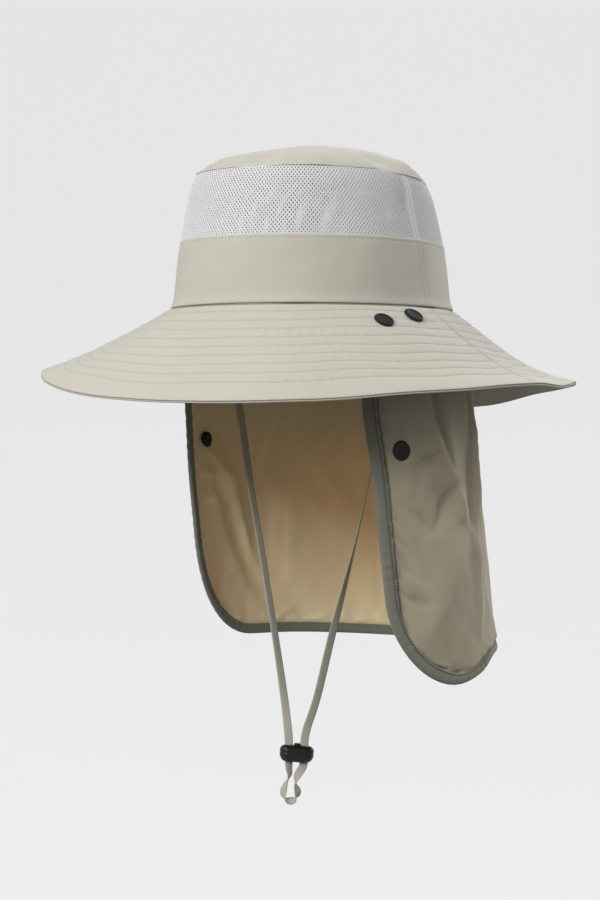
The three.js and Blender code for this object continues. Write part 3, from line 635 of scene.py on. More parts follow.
def shader_group(name, inputs, outputs, fill):
    """A shader node group, built once. `fill` gets the wiring and the inputs, and returns the
    outputs in order."""
    group = bpy.data.node_groups.get(name)
    if group:
        return group
    group = bpy.data.node_groups.new(name, "ShaderNodeTree")
    for socket, kind, default in inputs:
        made = group.interface.new_socket(socket, in_out="INPUT", socket_type=kind)
        if default is not None:
            made.default_value = default
    for socket, kind in outputs:
        group.interface.new_socket(socket, in_out="OUTPUT", socket_type=kind)
    wiring = Wiring(group)
    source = group.nodes.new("NodeGroupInput").outputs
    sink = group.nodes.new("NodeGroupOutput").inputs
    for socket, value in zip(sink, fill(wiring, source)):
        group.links.new(value, socket)
    return group


def weave_group():
    """Threads crossing: one sine along the cloth times one across it."""

    def fill(w, source):
        place = w.node("ShaderNodeSeparateXYZ", {0: source["Vector"]})
        turns = w.math("DIVIDE", 2 * math.pi, source["Pitch"])
        waves = [w.math("SINE", w.math("MULTIPLY", place.outputs[axis], turns)) for axis in (0, 1)]
        return [w.math("MULTIPLY_ADD", w.math("MULTIPLY", *waves), 0.5, 0.5)]

    inputs = (("Vector", "NodeSocketVector", None), ("Pitch", "NodeSocketFloat", 0.0006))
    return shader_group("plain weave", inputs, (("Height", "NodeSocketFloat"),), fill)


def twill_group():
    """Slanted ribs: a sine of the place along the cloth plus the place across it."""

    def fill(w, source):
        place = w.node("ShaderNodeSeparateXYZ", {0: source["Vector"]})
        slant = w.math("MULTIPLY_ADD", place.outputs[1], source["Slant"], place.outputs[0])
        turns = w.math("DIVIDE", 2 * math.pi, source["Pitch"])
        wave = w.math("SINE", w.math("MULTIPLY", slant, turns))
        return [w.math("MULTIPLY_ADD", wave, 0.5, 0.5)]

    inputs = (
        ("Vector", "NodeSocketVector", None),
        ("Pitch", "NodeSocketFloat", 0.001),
        ("Slant", "NodeSocketFloat", 1.0),
    )
    return shader_group("twill ribs", inputs, (("Height", "NodeSocketFloat"),), fill)


def shade_group():
    """Uneven dye, with painted shade and light: a colour made lighter and darker at random by two sizes of
    noise; darker in the weave's low parts and lighter on its raised threads by the weave's own height, as
    painted shade and light; darker in creases and seams as painted shade, and lighter where the crease shade
    is below nought, as painted light on ridges."""

    def fill(w, source):
        at = source["Vector"]
        broad = w.node("ShaderNodeTexNoise", {"Vector": at, "Scale": source["Broad"], "Detail": 2.0})
        fine = w.node("ShaderNodeTexNoise", {"Vector": at, "Scale": source["Fine"], "Detail": 3.0})
        spread = w.math("MULTIPLY", w.math("SUBTRACT", broad.outputs[0], 0.5), source["Amount"])
        grain = w.math("MULTIPLY", w.math("SUBTRACT", fine.outputs[0], 0.5), source["Grain"])
        # Painted shade and light: the weave's low parts darker, its raised threads lighter.
        thread = w.math("MULTIPLY", w.math("SUBTRACT", source["Height"], 0.5), source["Thread"])
        # Painted shade in creases, and painted light where the crease shade is below nought.
        level = w.math("MULTIPLY_ADD", source["Crease shade"], -0.55, 1.0)
        uneven = w.math("ADD", w.math("ADD", spread, grain), w.math("ADD", thread, 1.0))
        total = w.math("MULTIPLY", level, uneven)
        scaled = w.node("ShaderNodeVectorMath", {0: source["Colour"], "Scale": total}, operation="SCALE")
        return [scaled.outputs[0]]

    inputs = (
        ("Colour", "NodeSocketColor", (0.5, 0.5, 0.5, 1)),
        ("Vector", "NodeSocketVector", None),
        ("Height", "NodeSocketFloat", 0.5),
        ("Crease shade", "NodeSocketFloat", 0.0),
        ("Broad", "NodeSocketFloat", 25.0),
        ("Fine", "NodeSocketFloat", 700.0),
        ("Amount", "NodeSocketFloat", 0.1),
        ("Grain", "NodeSocketFloat", 0.1),
        ("Thread", "NodeSocketFloat", 0.1),
    )
    return shader_group("uneven tone and painted shade", inputs, (("Colour", "NodeSocketColor"),), fill)


def new_material(name):
    """A material of one Principled shader: the material, its wiring and the shader."""
    material = bpy.data.materials.new(name)
    material.use_nodes = True
    material.node_tree.nodes.clear()
    w = Wiring(material.node_tree)
    shader = w.node("ShaderNodeBsdfPrincipled")
    out = w.node("ShaderNodeOutputMaterial")
    material.node_tree.links.new(shader.outputs[0], out.inputs[0])
    return material, w, shader


def cloth_material(
    name, colour, pitch=0.0007, relief=0.00006, roughness=0.85, sheen=0.15,
    amount=0.06, grain=0.08, thread=0.10, slant=None, glow=0.0, depths=(1.0, 0.8, 0.6),
):
    """Woven cloth: weave or twill on the piece's own uv, uneven tone on object coordinates, and painted shade
    in creases from the point attribute.
    """
    material = bpy.data.materials.get(name)
    if material:
        return material
    material, w, shader = new_material(name)
    links = material.node_tree.links
    uv = w.node("ShaderNodeUVMap", uv_map="cloth")
    place = w.node("ShaderNodeTexCoord")
    ribs = w.node("ShaderNodeGroup", node_tree=weave_group() if slant is None else twill_group())
    links.new(uv.outputs[0], ribs.inputs["Vector"])
    ribs.inputs["Pitch"].default_value = pitch
    if slant is not None:
        ribs.inputs["Slant"].default_value = slant
    shade = w.node("ShaderNodeGroup", node_tree=shade_group())
    links.new(place.outputs["Object"], shade.inputs["Vector"])
    links.new(ribs.outputs[0], shade.inputs["Height"])
    # Painted shade in creases, and painted light on ridges, read from the point attribute.
    crease_shade = w.node("ShaderNodeAttribute", attribute_name="crease_shade")
    links.new(crease_shade.outputs["Fac"], shade.inputs["Crease shade"])
    for socket, value in (("Colour", (*colour, 1)), ("Amount", amount), ("Grain", grain), ("Thread", thread)):
        shade.inputs[socket].default_value = value
    links.new(shade.outputs[0], shader.inputs["Base Color"])
    bump = w.node("ShaderNodeBump", {"Height": ribs.outputs[0], "Distance": relief, "Strength": 0.6})
    links.new(bump.outputs[0], shader.inputs["Normal"])
    shader.inputs["Roughness"].default_value = roughness
    shader.inputs["Sheen Weight"].default_value = sheen
    shader.inputs["Sheen Roughness"].default_value = 0.5
    shader.inputs["Specular IOR Level"].default_value = 0.3
    shader.inputs["Subsurface Weight"].default_value = glow
    shader.inputs["Subsurface Radius"].default_value = depths
    shader.inputs["Subsurface Scale"].default_value = 0.002
    return material


def plastic_material(name, colour, roughness):
    """Moulded plastic: fine moulded grain in its bump and a slightly uneven polish."""
    material = bpy.data.materials.get(name)
    if material:
        return material
    material, w, shader = new_material(name)
    links = material.node_tree.links
    place = w.node("ShaderNodeTexCoord").outputs["Object"]
    grain = w.node("ShaderNodeTexNoise", {"Vector": place, "Scale": 1800.0, "Detail": 3.0})
    polish = w.node("ShaderNodeTexNoise", {"Vector": place, "Scale": 260.0, "Detail": 2.0})
    links.new(w.math("MULTIPLY_ADD", polish.outputs[0], 0.22, roughness - 0.11), shader.inputs["Roughness"])
    bump = w.node("ShaderNodeBump", {"Height": grain.outputs[0], "Distance": 0.00003, "Strength": 0.5})
    links.new(bump.outputs[0], shader.inputs["Normal"])
    shader.inputs["Base Color"].default_value = (*colour, 1)
    shader.inputs["Specular IOR Level"].default_value = 0.22
    return material


def khaki_cloth(context):
    """The cloth of the dome, the side band and the brim."""
    return cloth_material("khaki weave", context.scene.hat_colours.khaki, sheen=0.2)


def thread_material(context):
    """The topstitching's thread, twisted at a slant."""
    return cloth_material(
        "khaki thread", context.scene.hat_colours.thread, pitch=0.0006, roughness=0.6,
        sheen=0.1, thread=0.3, slant=1.0,
    )


class HatOperator:
    """What the hat's operators share: where they are listed, and that each can be undone."""

    bl_options = {"REGISTER", "UNDO"}


class HAT_OT_studio(HatOperator, bpy.types.Operator):
    """Adds the pale floor, the soft lights and the camera"""

    bl_idname = "hat.studio"
    bl_label = "Studio"

    def execute(self, context):
        scene = context.scene
        toward = np.array((math.sin(VIEW_TURN), -math.cos(VIEW_TURN), 0))
        right = np.array((math.cos(VIEW_TURN), math.sin(VIEW_TURN), 0))
        lens = bpy.data.cameras.new("camera")
        lens.lens = 105
        lens.sensor_width = 36
        lens.clip_end = 30
        camera = new_object("camera", lens)
        camera.location = toward * VIEW_AWAY + right * VIEW_RIGHT + np.array((0, 0, VIEW_UP))
        camera.rotation_euler = (QUARTER, 0, VIEW_TURN)
        scene.camera = camera
        scene.view_settings.view_transform = "Standard"

        self.add_floor(context)
        lights = (
            # name, azimuth from the camera, height, distance, size, power
            ("key light", -58, 1.3, 2.0, 1.3, 24),
            ("front light", -34, 0.85, 2.4, 0.6, 28),
            ("fill light", 62, 1.6, 2.4, 1.4, 17),
            ("back light", 138, 0.9, 2.2, 1.2, 18),
            ("top light", 150, 1.9, 1.5, 1.6, 6),
        )
        for name, turn, height, distance, size, power in lights:
            lamp = bpy.data.lights.new(name, "AREA")
            lamp.energy, lamp.size = power, size
            light = new_object(name, lamp)
            angle = VIEW_TURN + math.radians(turn)
            light.location = (distance * math.sin(angle), -distance * math.cos(angle), height)
            aim = -light.location.copy()
            aim.z -= 0.05
            light.rotation_euler = aim.to_track_quat("-Z", "Y").to_euler()

        world = bpy.data.worlds.new("studio air")
        world.use_nodes = True
        w = Wiring(world.node_tree)
        sky = world.node_tree.nodes["Background"]
        sky.inputs["Color"].default_value = (0.95, 0.95, 0.96, 1)
        # Light comes from above and from round about, and little of it from below.
        way = w.node("ShaderNodeSeparateXYZ", {0: w.node("ShaderNodeTexCoord").outputs["Generated"]})
        level = w.node(
            "ShaderNodeMapRange",
            {"Value": way.outputs[2], "From Min": -0.3, "From Max": 0.35, "To Min": 0.13, "To Max": 0.52},
            interpolation_type="SMOOTHSTEP",
        )
        world.node_tree.links.new(level.outputs[0], sky.inputs["Strength"])
        scene.world = world
        return {"FINISHED"}

    def add_floor(self, context):
        """A flat disc that curves up into a wall far off: radius and height along one outline."""
        bend, curve = np.linspace(0, QUARTER, 17), 1.2
        radius = np.concatenate(([0, 1.0, 2.0, 3.0], 3.4 + curve * np.sin(bend), [4.6, 4.6]))
        height = np.concatenate(([0, 0, 0, 0], curve - curve * np.cos(bend), [3.0, 5.0])) - FLOOR_DROP
        turn = np.linspace(0, 2 * math.pi, 97)
        a, r = grid(turn, radius)
        points = np.stack((r * np.cos(a), r * np.sin(a), np.broadcast_to(height, a.shape)), -1)
        skin = grid_skin(points, (a, r), flip=True)
        mesh = bpy.data.meshes.new("studio_floor")
        mesh.from_pydata(skin["points"], [], skin["faces"])
        smooth_faces(mesh)
        material, w, shader = new_material("pale floor")
        place = w.node("ShaderNodeTexCoord").outputs["Object"]
        mottle = w.node("ShaderNodeTexNoise", {"Vector": place, "Scale": 3.0, "Detail": 2.0})
        level = w.math("MULTIPLY_ADD", mottle.outputs[0], 0.02, 0.99)
        colour = tuple(context.scene.hat_colours.floor)
        tint = w.node("ShaderNodeVectorMath", {0: colour, "Scale": level}, operation="SCALE")
        material.node_tree.links.new(tint.outputs[0], shader.inputs["Base Color"])
        shader.inputs["Roughness"].default_value = 0.9
        shader.inputs["Emission Color"].default_value = (1, 1, 1, 1)
        shader.inputs["Emission Strength"].default_value = 0.64
        mesh.materials.append(material)
        floor = new_object("studio_floor", mesh)
        floor.visible_diffuse = floor.visible_shadow = False


def crown_slack(points):
    """Soft unevenness of the crown's cloth: broad swells and a few shorter ones."""
    return 0.36 * MM * ripple(points, 3, 62 * MM) + 0.08 * MM * ripple(points, 4, 20 * MM)


def crown_face(form, turn, height, lift=0):
    """The crown's side with its cloth's slack, the seams' pull at both ears, a dent in the mesh
    before the left ear and a bulge just above the brim behind it, all of them bell curves."""
    base = form.wall(turn, height)
    ear = np.abs(np.cos(turn)) * form.s.half_length
    pull = -0.3 * MM * bell(ear, 7 * MM)
    beside = (turn - math.radians(84)) * form.s.half_width
    dent = -1.9 * MM * bell(beside, 7 * MM) * bell(height - 66 * MM, 11 * MM)
    bulge = 1.1 * MM * bell(beside - 13 * MM, 9 * MM) * bell(height, 6 * MM)
    return form.wall(turn, height, lift + pull + dent + bulge + crown_slack(base))


def half_turns(form, half, gap, pitch):
    """Turns from ear to ear across one half of the hat, about `pitch` apart along the seam."""
    start, end = ((0, 0.5), (0.5, 1.0))[half]
    arcs = np.array((start, end)) * form.arcs[-1] + np.array((gap, -gap))
    return form.turn_at(np.linspace(*arcs, int((arcs[1] - arcs[0]) / pitch) + 1))


def band_skins(form, turn, outline):
    """A band's closed outline of (height, lift) rows carried round between two turns."""
    height, lift, crease_shade = np.asarray([(*row, 0)[:3] for row in outline]).T
    height, lift = height * MM, lift * MM
    t, h = grid(turn, height)
    points = crown_face(form, t, h, lift)
    around = np.interp(turn, form.turns, form.arcs)[:, None]
    across = distance_along(np.stack((height, lift), -1))
    return carried_skins(points, (around, across), crease_shade)


# The side band's outline in millimetres, height and lift, and where that isn't nought how much painted shade
# it gets, a dark line of painted shade where it tucks in at the brim: up its inner face, over its folded top
# edge, which stands a little proud of the mesh, and down its outer face to the brim.
SIDE_BAND_OUTLINE = (
    [(h, -1.15) for h in np.linspace(0.5, 42.8, 12)]
    + [(43.4, -1.0), (43.7, -0.55), (43.6, -0.1), (43.2, 0.18), (42.6, 0.3), (41.9, 0.26)]
    + [(41.2, 0.08), (40.9, 0.02), (40.6, 0.08), (39.7, 0.18), (38.2, 0.12)]
    + [(h, 0.04 + 0.06 * math.sin(h / 6)) for h in np.linspace(36, 4.5, 27)]
    + [(3.2, 0.14), (2.0, 0.2), (1.0, 0.1), (0.35, -0.25, 0.6), (0.1, -0.7, 1), (0.5, -1.15)]
)


def eyelet_plate(columns, rows, wide, tall, hole):
    """A plate of hexagonal cells, each with an oval eyelet, as points of (across, up, layer) and
    quads.

    Cells stand in columns, every other column half a cell higher. A cell's six corners are
    joined to the six points of its hole, and an edge that only one quad uses gets a wall.
    """
    i, j = (index.ravel() for index in np.meshgrid(np.arange(columns), np.arange(rows), indexing="ij"))
    centre = np.stack((i, j + 0.5 * (i % 2)), -1) * (wide, tall)
    corners = np.array(((4, 0), (2, 3), (-2, 3), (-4, 0), (-2, -3), (2, -3))) / 6 * (wide, tall)
    angles = np.radians(60 * np.arange(6))
    ring = np.stack((np.cos(angles), np.sin(angles)), -1) * hole
    corner_points = (centre[:, None] + corners).reshape(-1, 2)
    _, kept, named = np.unique(np.round(corner_points / WELD), axis=0, return_index=True, return_inverse=True)
    outer = named.reshape(-1, 6)
    inner = len(kept) + np.arange(outer.size).reshape(-1, 6)
    flat = np.concatenate((corner_points[kept], (centre[:, None] + ring).reshape(-1, 2)))
    sunk = np.where(np.arange(len(flat)) < len(kept), 0.0, 0.22)
    points = np.concatenate((np.column_stack((flat, sunk)), np.column_stack((flat, 1 - sunk))))
    quads = np.stack((outer, np.roll(outer, -1, 1), np.roll(inner, -1, 1), inner), -1).reshape(-1, 4)
    a, b = quads.ravel(), np.roll(quads, -1, 1).ravel()
    alone = ~np.isin(a * len(flat) + b, b * len(flat) + a)
    a, b = a[alone], b[alone]
    walls = np.stack((b, a, a + len(flat), b + len(flat)), -1)
    return points, np.concatenate((quads, quads[:, ::-1] + len(flat), walls))


def mesh_skins(form, half):
    """The mesh band over one half of the crown: its plate of eyelets, tucked behind the side
    band's top edge, and a plain strip at each ear."""
    sizes = form.s
    length = form.arcs[-1] / 2
    low, high = sizes.band_height - 1.8 * MM, form.bands + 1.6 * MM
    wide, tall = sizes.eyelet_pitch, 2.15 * sizes.eyelet_pitch
    columns = int((length - 2.4 * MM) / wide)
    rows = int(round((high - low) / tall - 0.5))
    hole = np.array((0.3, 0.47)) * sizes.eyelet_pitch
    points, quads = eyelet_plate(columns, rows, wide, tall, hole)
    across, up, layer = points.T
    spread = (across - across.min()) / (across.max() - across.min())
    across = 1 * MM + spread * (length - 2 * MM)
    up = low + (up - up.min()) / (up.max() - up.min()) * (high - low)
    turn = form.turn_at(half * length + across)
    tuck = 0.8 * MM * smooth_step(up, form.bands - 0.3 * MM, form.bands + 1 * MM)
    points = crown_face(form, turn, up, -0.1 * MM - 0.6 * MM * layer - tuck)
    skins = [loose_skin(points, quads, np.stack((across, up), -1))]
    rise = np.linspace(low, form.bands - 0.1 * MM, 14) / MM
    strip = [(h, -0.85) for h in rise] + [(h, 0.0) for h in rise[::-1]] + [(rise[0], -0.85)]
    for start in (0.15 * MM, length - 3.4 * MM):
        turn = form.turn_at(half * length + start + np.linspace(0, 3.25 * MM, 5))
        skins += band_skins(form, turn, strip)
    return skins


def dome_face(form, turn, share, lift=0):
    """The dome with its cloth's slack and small gathers that run in from the rim."""
    base = form.dome(turn, share)
    rim = form.dome(turn, np.ones_like(share))
    inward = (1 - share) * form.s.half_length
    gathers = 0.4 * MM * ripple(rim, 11, 13 * MM) * (np.exp(-inward / (8 * MM)) - np.exp(-inward / (2 * MM)))
    folds = 1.0 * MM * ripple(rim, 12, 26 * MM) * bell(inward - 12 * MM, 10 * MM)
    fade = smooth_step(share, 0, 0.25)
    swell = 0.45 * MM * ripple(base, 13, 55 * MM) * (1 - share**8)
    seam = crown_slack(form.wall(turn, form.bands + 0 * share)) * share**8
    return form.dome(turn, share, lift + swell + seam + fade * (gathers + folds))


class HAT_OT_crown(HatOperator, bpy.types.Operator):
    """Adds the domed top, the mesh band with its eyelets and the side band"""

    bl_idname = "hat.crown"
    bl_label = "Crown"

    def execute(self, context):
        form = HatForm(context.scene.hat_sizes)
        colours = context.scene.hat_colours
        khaki = khaki_cloth(context)
        self.add_dome(form, khaki)
        knit = cloth_material(
            "knitted mesh", colours.mesh, pitch=0.0007, relief=0.00012, roughness=0.9,
            sheen=0.3, thread=0.16, grain=0.10, slant=2.0,
        )
        for half, side in enumerate(("front", "back")):
            add_piece(f"mesh_{side}_cloth", mesh_skins(form, half), [knit], [f"mesh_{side}"])
            turn = half_turns(form, half, 0.12 * MM, 1.3 * MM)
            skins = band_skins(form, turn, SIDE_BAND_OUTLINE)
            add_piece(f"side_band_{side}_cloth", skins, [khaki], [f"side_band_{side}"])
        self.add_topstitching(context, form)
        return {"FINISHED"}

    def add_dome(self, form, khaki):
        """One closed outline from the middle of the inner face, round the rim's turned edge and
        back over the outer face."""
        rim = ((0.99, -1.1), (0.9965, -0.85), (1.0, -0.45), (1.002, -0.05), (0.9985, 0.2), (0.993, 0.26))
        seam = ((0.986, 0.15), (0.979, -0.02), (0.975, -0.03), (0.971, 0.03), (0.962, 0.04), (0.95, 0))
        inner = [(share, -1.1) for share in np.linspace(0, 0.98, 22)]
        outer = [(share, 0.0) for share in 0.935 * (1 - np.linspace(0, 1, 34) ** 1.15)]
        share, lift = np.array(inner + list(rim + seam) + outer).T
        turn = form.turn_at(np.linspace(0, form.arcs[-1], 361))
        t, q = grid(turn, share)
        points = dome_face(form, t, q, lift * MM)
        points[-1] = points[0]
        uv = (points[..., 0], points[..., 1])
        add_piece("crown_top_cloth", [grid_skin(points, uv)], [khaki], ["crown_top"])

    def add_topstitching(self, context, form):
        """Thread round the dome's rim, round the side band's top edge and down both ears."""
        turn = form.turn_at(np.linspace(0, form.arcs[-1], 1200))
        ones = np.ones_like(turn)
        outward = unit(form.place(turn, MM, 0) - form.place(turn, 0, 0))
        up = np.array((0, 0, 1.0))
        skins = []
        path = dome_face(form, turn, 0.975 * ones, -0.03 * MM)
        skins.append(stitch_skin(path, unit(outward + up * 0.7), 3.1 * MM, 2.4 * MM, 0.17 * MM))
        path = crown_face(form, turn, 40.9 * MM * ones, 0.04 * MM)
        skins.append(stitch_skin(path, outward, 3.1 * MM, 2.4 * MM, 0.17 * MM))
        # Rows beside each ear's seam: how far round from it they start and end, on the side
        # band and then on the mesh, and how thick the thread is, in millimetres.
        rows = (((1.5, 42), (-6.4, -4.6, 4.4, 6.2), 0.22, 0), ((44.5, 85.5), (-7.4,), 0.14, 1))
        for ear in (1, -1):
            for (low, high), offsets, radius, finish in rows:
                height = np.linspace(low, high, 90) * MM
                for offset in offsets:
                    place = ear * (QUARTER + offset * MM / form.s.half_width) + 0 * height
                    path = crown_face(form, place, height, 0.06 * MM)
                    facing = np.broadcast_to((float(ear), 0, 0.1), path.shape)
                    skins.append(stitch_skin(path, facing, 2.9 * MM, 2.2 * MM, radius * MM, finish=finish))
        pale = cloth_material("mesh thread", context.scene.hat_colours.mesh, pitch=0.0006, slant=1.0)
        add_piece("crown_topstitching", skins, [thread_material(context), pale], weld=False)


def quilting(form, reach):
    """The swell between two rows, 1 - |2s - 1|^2.4, and the distance to the nearest row."""
    lines = form.quilt_lines
    i = np.clip(np.searchsorted(lines, reach, side="right") - 1, 0, len(lines) - 2)
    share = np.clip((reach - lines[i]) / (lines[i + 1] - lines[i]), 0, 1)
    nearest = np.min(np.abs(reach[..., None] - lines[1:-1]), -1)
    return 1 - np.abs(2 * share - 1) ** 2.4, nearest


def from_ears(form, turn, reach):
    """Distance from the seams over the ears, along the brim."""
    return np.abs(np.cos(turn)) * (form.s.half_length + 0.8 * reach)


def brim_crease(form, turn, reach):
    """How deep in a stitched row, in an ear seam or in the crown's seam a point lies. It sinks those grooves,
    and it is also the painted shade that darkens them.
    """
    _, nearest = quilting(form, reach)
    ear = from_ears(form, turn, reach)
    row = 0.42 * bell(nearest, 0.42 * MM) * smooth_step(ear, 1.5 * MM, 4 * MM)
    seam = np.maximum(0.7 * bell(ear, 0.5 * MM), 0.4 * bell(ear - 3.1 * MM, 0.5 * MM))
    crown = 1.2 * bell(reach + 0.1 * MM, 0.7 * MM)
    return np.maximum(np.maximum(row, crown), seam * smooth_step(reach, 0, 2 * MM))


def brim_face(form, turn, reach, lift, side):
    """The brim's cloth on its top (side 1) or underside (side -1): wandering rows, the quilting's
    swell and grooves, puckers across the rows and broad swells, flat beside the ear seams."""
    width = form.s.brim_width
    around = form.s.half_length + 0.8 * reach
    flat = np.stack((around * np.sin(turn), -around * np.cos(turn)), -1)
    inside = smooth_step(reach, 0, 12 * MM) * smooth_step(width - reach, 2 * MM, 14 * MM)
    wander = 0.5 * MM * ripple(flat, 21, 52 * MM) * inside
    swell, nearest = quilting(form, reach)
    across = np.stack((turn * 0.14, reach * 0.3), -1)
    beside = np.exp(-nearest / (2.4 * MM)) - bell(nearest, 0.7 * MM)
    puckers = 0.22 * MM * ripple(across, 22 + side, 5 * MM) * beside * inside
    seam = smooth_step(from_ears(form, turn, reach), 1.5 * MM, 5.5 * MM)
    groove = 0.5 * MM * brim_crease(form, turn, reach)
    puff = form.s.quilt_puff * swell + 0.14 * MM * (1 - seam) * inside
    own = side * (seam * puckers + puff - groove)
    broad = 0.32 * MM * ripple(form.brim(turn, reach), 24, 62 * MM) * smooth_step(reach, 0, 15 * MM)
    return form.brim(turn, reach + wander, lift + own + broad)


class HAT_OT_brim(HatOperator, bpy.types.Operator):
    """Adds the two halves of the quilted brim and their rows of stitches"""

    bl_idname = "hat.brim"
    bl_label = "Brim"

    def execute(self, context):
        form = HatForm(context.scene.hat_sizes)
        khaki = khaki_cloth(context)
        for half, side in enumerate(("front", "back")):
            turn = half_turns(form, half, 0.1 * MM, 1.0 * MM)
            skins = self.half_skins(form, turn)
            add_piece(f"brim_{side}_cloth", skins, [khaki], [f"brim_{side}"])
        self.add_stitches(context, form)
        return {"FINISHED"}

    def half_skins(self, form, turn):
        """The closed outline of the brim: out along the underside, round the edge, where the
        lower cloth shows as a lip under the upper one, and in along the top to its tuck under
        the side band."""
        wall, width = form.s.brim_wall, form.s.brim_width
        lines = form.quilt_lines
        steps = np.array((0, 0.04, 0.09, 0.19, 0.35, 0.5, 0.65, 0.81, 0.91, 0.96))
        run = (lines[:-1, None] + np.diff(lines)[:, None] * steps).ravel()
        run = run[run < width - 1.2 * MM]
        sparse = run[np.isin(np.arange(len(run)) % 10, (0, 1, 3, 5, 7, 9))]
        edge = np.array((
            (-0.9, -0.1), (-0.2, -0.25), (0.3, -0.15), (0.55, 0.15), (0.55, 0.5), (0.3, 0.8),
            (-0.25, 0.95), (-0.5, 1.05), (-0.25, 1.15), (-0.05, 1.32), (-0.05, 1.55), (-0.3, 1.8),
            (-0.9, 1.92),
        )) * MM
        t, under = grid(turn, sparse)
        below = brim_face(form, t, under, BRIM_TOP - wall, -1)
        tucked = np.append(run[::-1], -1.3 * MM)
        t, over = grid(turn, tucked)
        above = brim_face(form, t, over, BRIM_TOP, 1)
        t, e = grid(turn, edge[:, 0] + width)
        rim = brim_face(form, t, np.minimum(e, width), BRIM_TOP - wall + edge[:, 1], 0)
        rim += form.brim(t, e) - form.brim(t, np.minimum(e, width))
        t, seam = grid(turn, np.zeros(1))
        inner = form.brim(t, seam - 1.3 * MM, -1.2 * MM)
        points = np.concatenate((below, rim, above, inner, below[:, :1]), 1)
        # Painted shade: a dark line along the groove above the lip, and each row and seam darker by
        # brim_crease.
        groove = np.broadcast_to(bell(edge[:, 1] - 1.05 * MM, 0.2 * MM), rim.shape[:2])
        crease_shade = np.concatenate((
            brim_crease(form, *grid(turn, sparse)), groove, brim_crease(form, *grid(turn, tucked)),
            np.zeros((len(turn), 2)),
        ), 1)
        around = np.interp(turn, form.turns, form.arcs)[:, None]
        across = distance_along(points[len(turn) // 2])
        return carried_skins(points, (around * 1.4, across), crease_shade)

    def add_stitches(self, context, form):
        """Thread along each quilting row on both faces, and beside the ear seams on top."""
        thread = thread_material(context)
        wall = form.s.brim_wall
        turn = form.turn_at(np.linspace(0, form.arcs[-1], 2400))
        for side, face in ((1, "top"), (-1, "underside")):
            skins = []
            for line in form.quilt_lines[1:-1]:
                reach = np.full(turn.shape, line)
                path = brim_face(form, turn, reach, BRIM_TOP - wall * (side < 0), side)
                facing = side * (form.brim(turn, reach, MM) - form.brim(turn, reach))
                skins.append(stitch_skin(path, facing, 3.2 * MM, 2.35 * MM, 0.2 * MM))
            if side > 0:
                skins += self.ear_stitches(form)
            add_piece(f"brim_stitches_{face}", skins, [thread], weld=False)

    def ear_stitches(self, form):
        """Two rows beside each ear seam, from the crown to the brim's edge."""
        reach = np.linspace(1.5 * MM, form.s.brim_width - 2 * MM, 160)
        skins = []
        for ear in (1, -1):
            for offset in (-3.1 * MM, 3.1 * MM):
                turn = ear * QUARTER + offset / (form.s.half_width + 0.8 * reach)
                path = brim_face(form, turn, reach, BRIM_TOP, 1)
                facing = form.brim(turn, reach, MM) - form.brim(turn, reach)
                skins.append(stitch_skin(path, facing, 3 * MM, 2.2 * MM, 0.17 * MM))
        return skins


def flap_creases(form, along, depth):
    """Sharp folds: full on a line, falling off as e to the power of minus the distance over the
    width of that side, and fading out towards both of the fold's ends."""
    length = form.s.flap_length
    lift = np.zeros(np.broadcast(along, depth).shape)
    for *ends, left, right, high in FLAP_CREASES:
        share, distance, leftward = form.beside_fold(along, depth, ends)
        spread = np.where(leftward, left, right) * length
        rounded = np.sqrt((distance / spread) ** 2 + 0.03) - 0.17
        lift += high * length * np.exp(-rounded) * np.sin(math.pi * share) ** 0.6
    return lift


def from_flap_edge(form, along, depth):
    """Distance in from the nearest of the flap's three free edges."""
    sides = np.minimum(along, form.flap_width - along)
    return np.minimum(sides, (form.hem(along) - depth) / form.narrowing(along))


def flap_relief(form, along, depth):
    """The cloth's folds, slight slack, and gathers where the binding holds it."""
    flat = np.stack(np.broadcast_arrays(along, depth), -1)
    slack = 0.6 * MM * ripple(flat, 31, 58 * MM) + 0.12 * MM * ripple(flat, 32, 19 * MM)
    inward = from_flap_edge(form, along, depth)
    waves = 0.42 * MM * ripple(flat, 33, 13 * MM, 7) + 0.36 * MM * ripple(flat, 34, 7 * MM, 7)
    held = np.exp(-np.maximum(inward - 8 * MM, 0) / (5 * MM)) * smooth_step(inward, 6.8 * MM, 8.8 * MM)
    dip = 0.45 * MM * bell(inward - 9 * MM, 1.2 * MM)
    free = smooth_step(inward, form.s.binding_width, 2.2 * form.s.binding_width)
    folds = flap_creases(form, along, depth) * free
    hang = smooth_step(depth, 2 * MM, 30 * MM)
    return (slack * smooth_step(inward, 5 * MM, 14 * MM) + waves * held - dip + folds) * hang


def flap_hollow(form, along, depth, step=6 * MM):
    """How hollow the cloth is: its relief's mean at four places round a point, less its own. It is used only
    as painted shade in the folds' hollows and painted light on their ridges.
    """
    round_about = ((step, 0), (-step, 0), (0, step), (0, -step))
    mean = sum(flap_relief(form, along + u, depth + v) for u, v in round_about) / 4
    return np.clip((mean - flap_relief(form, along, depth)) / (1 * MM), -0.4, 0.9)


def flap_face(form, along, depth, lift=0):
    """The flap lifted by the cloth's relief."""
    return form.flap(along, depth, lift + flap_relief(form, along, depth))


def hem_places(form, corner, between):
    """Places along the hem: `corner` of them at each rounded corner, close together where it
    turns up, and `between` from one to the other."""
    curve = 1 - np.cos(np.linspace(0, QUARTER, corner))
    left = LEFT_CORNER[0] * form.s.flap_length * curve
    right = form.flap_width - RIGHT_CORNER[0] * form.s.flap_length * curve[::-1]
    return np.concatenate((left, np.linspace(left[-1], right[0], between)[1:-1], right))


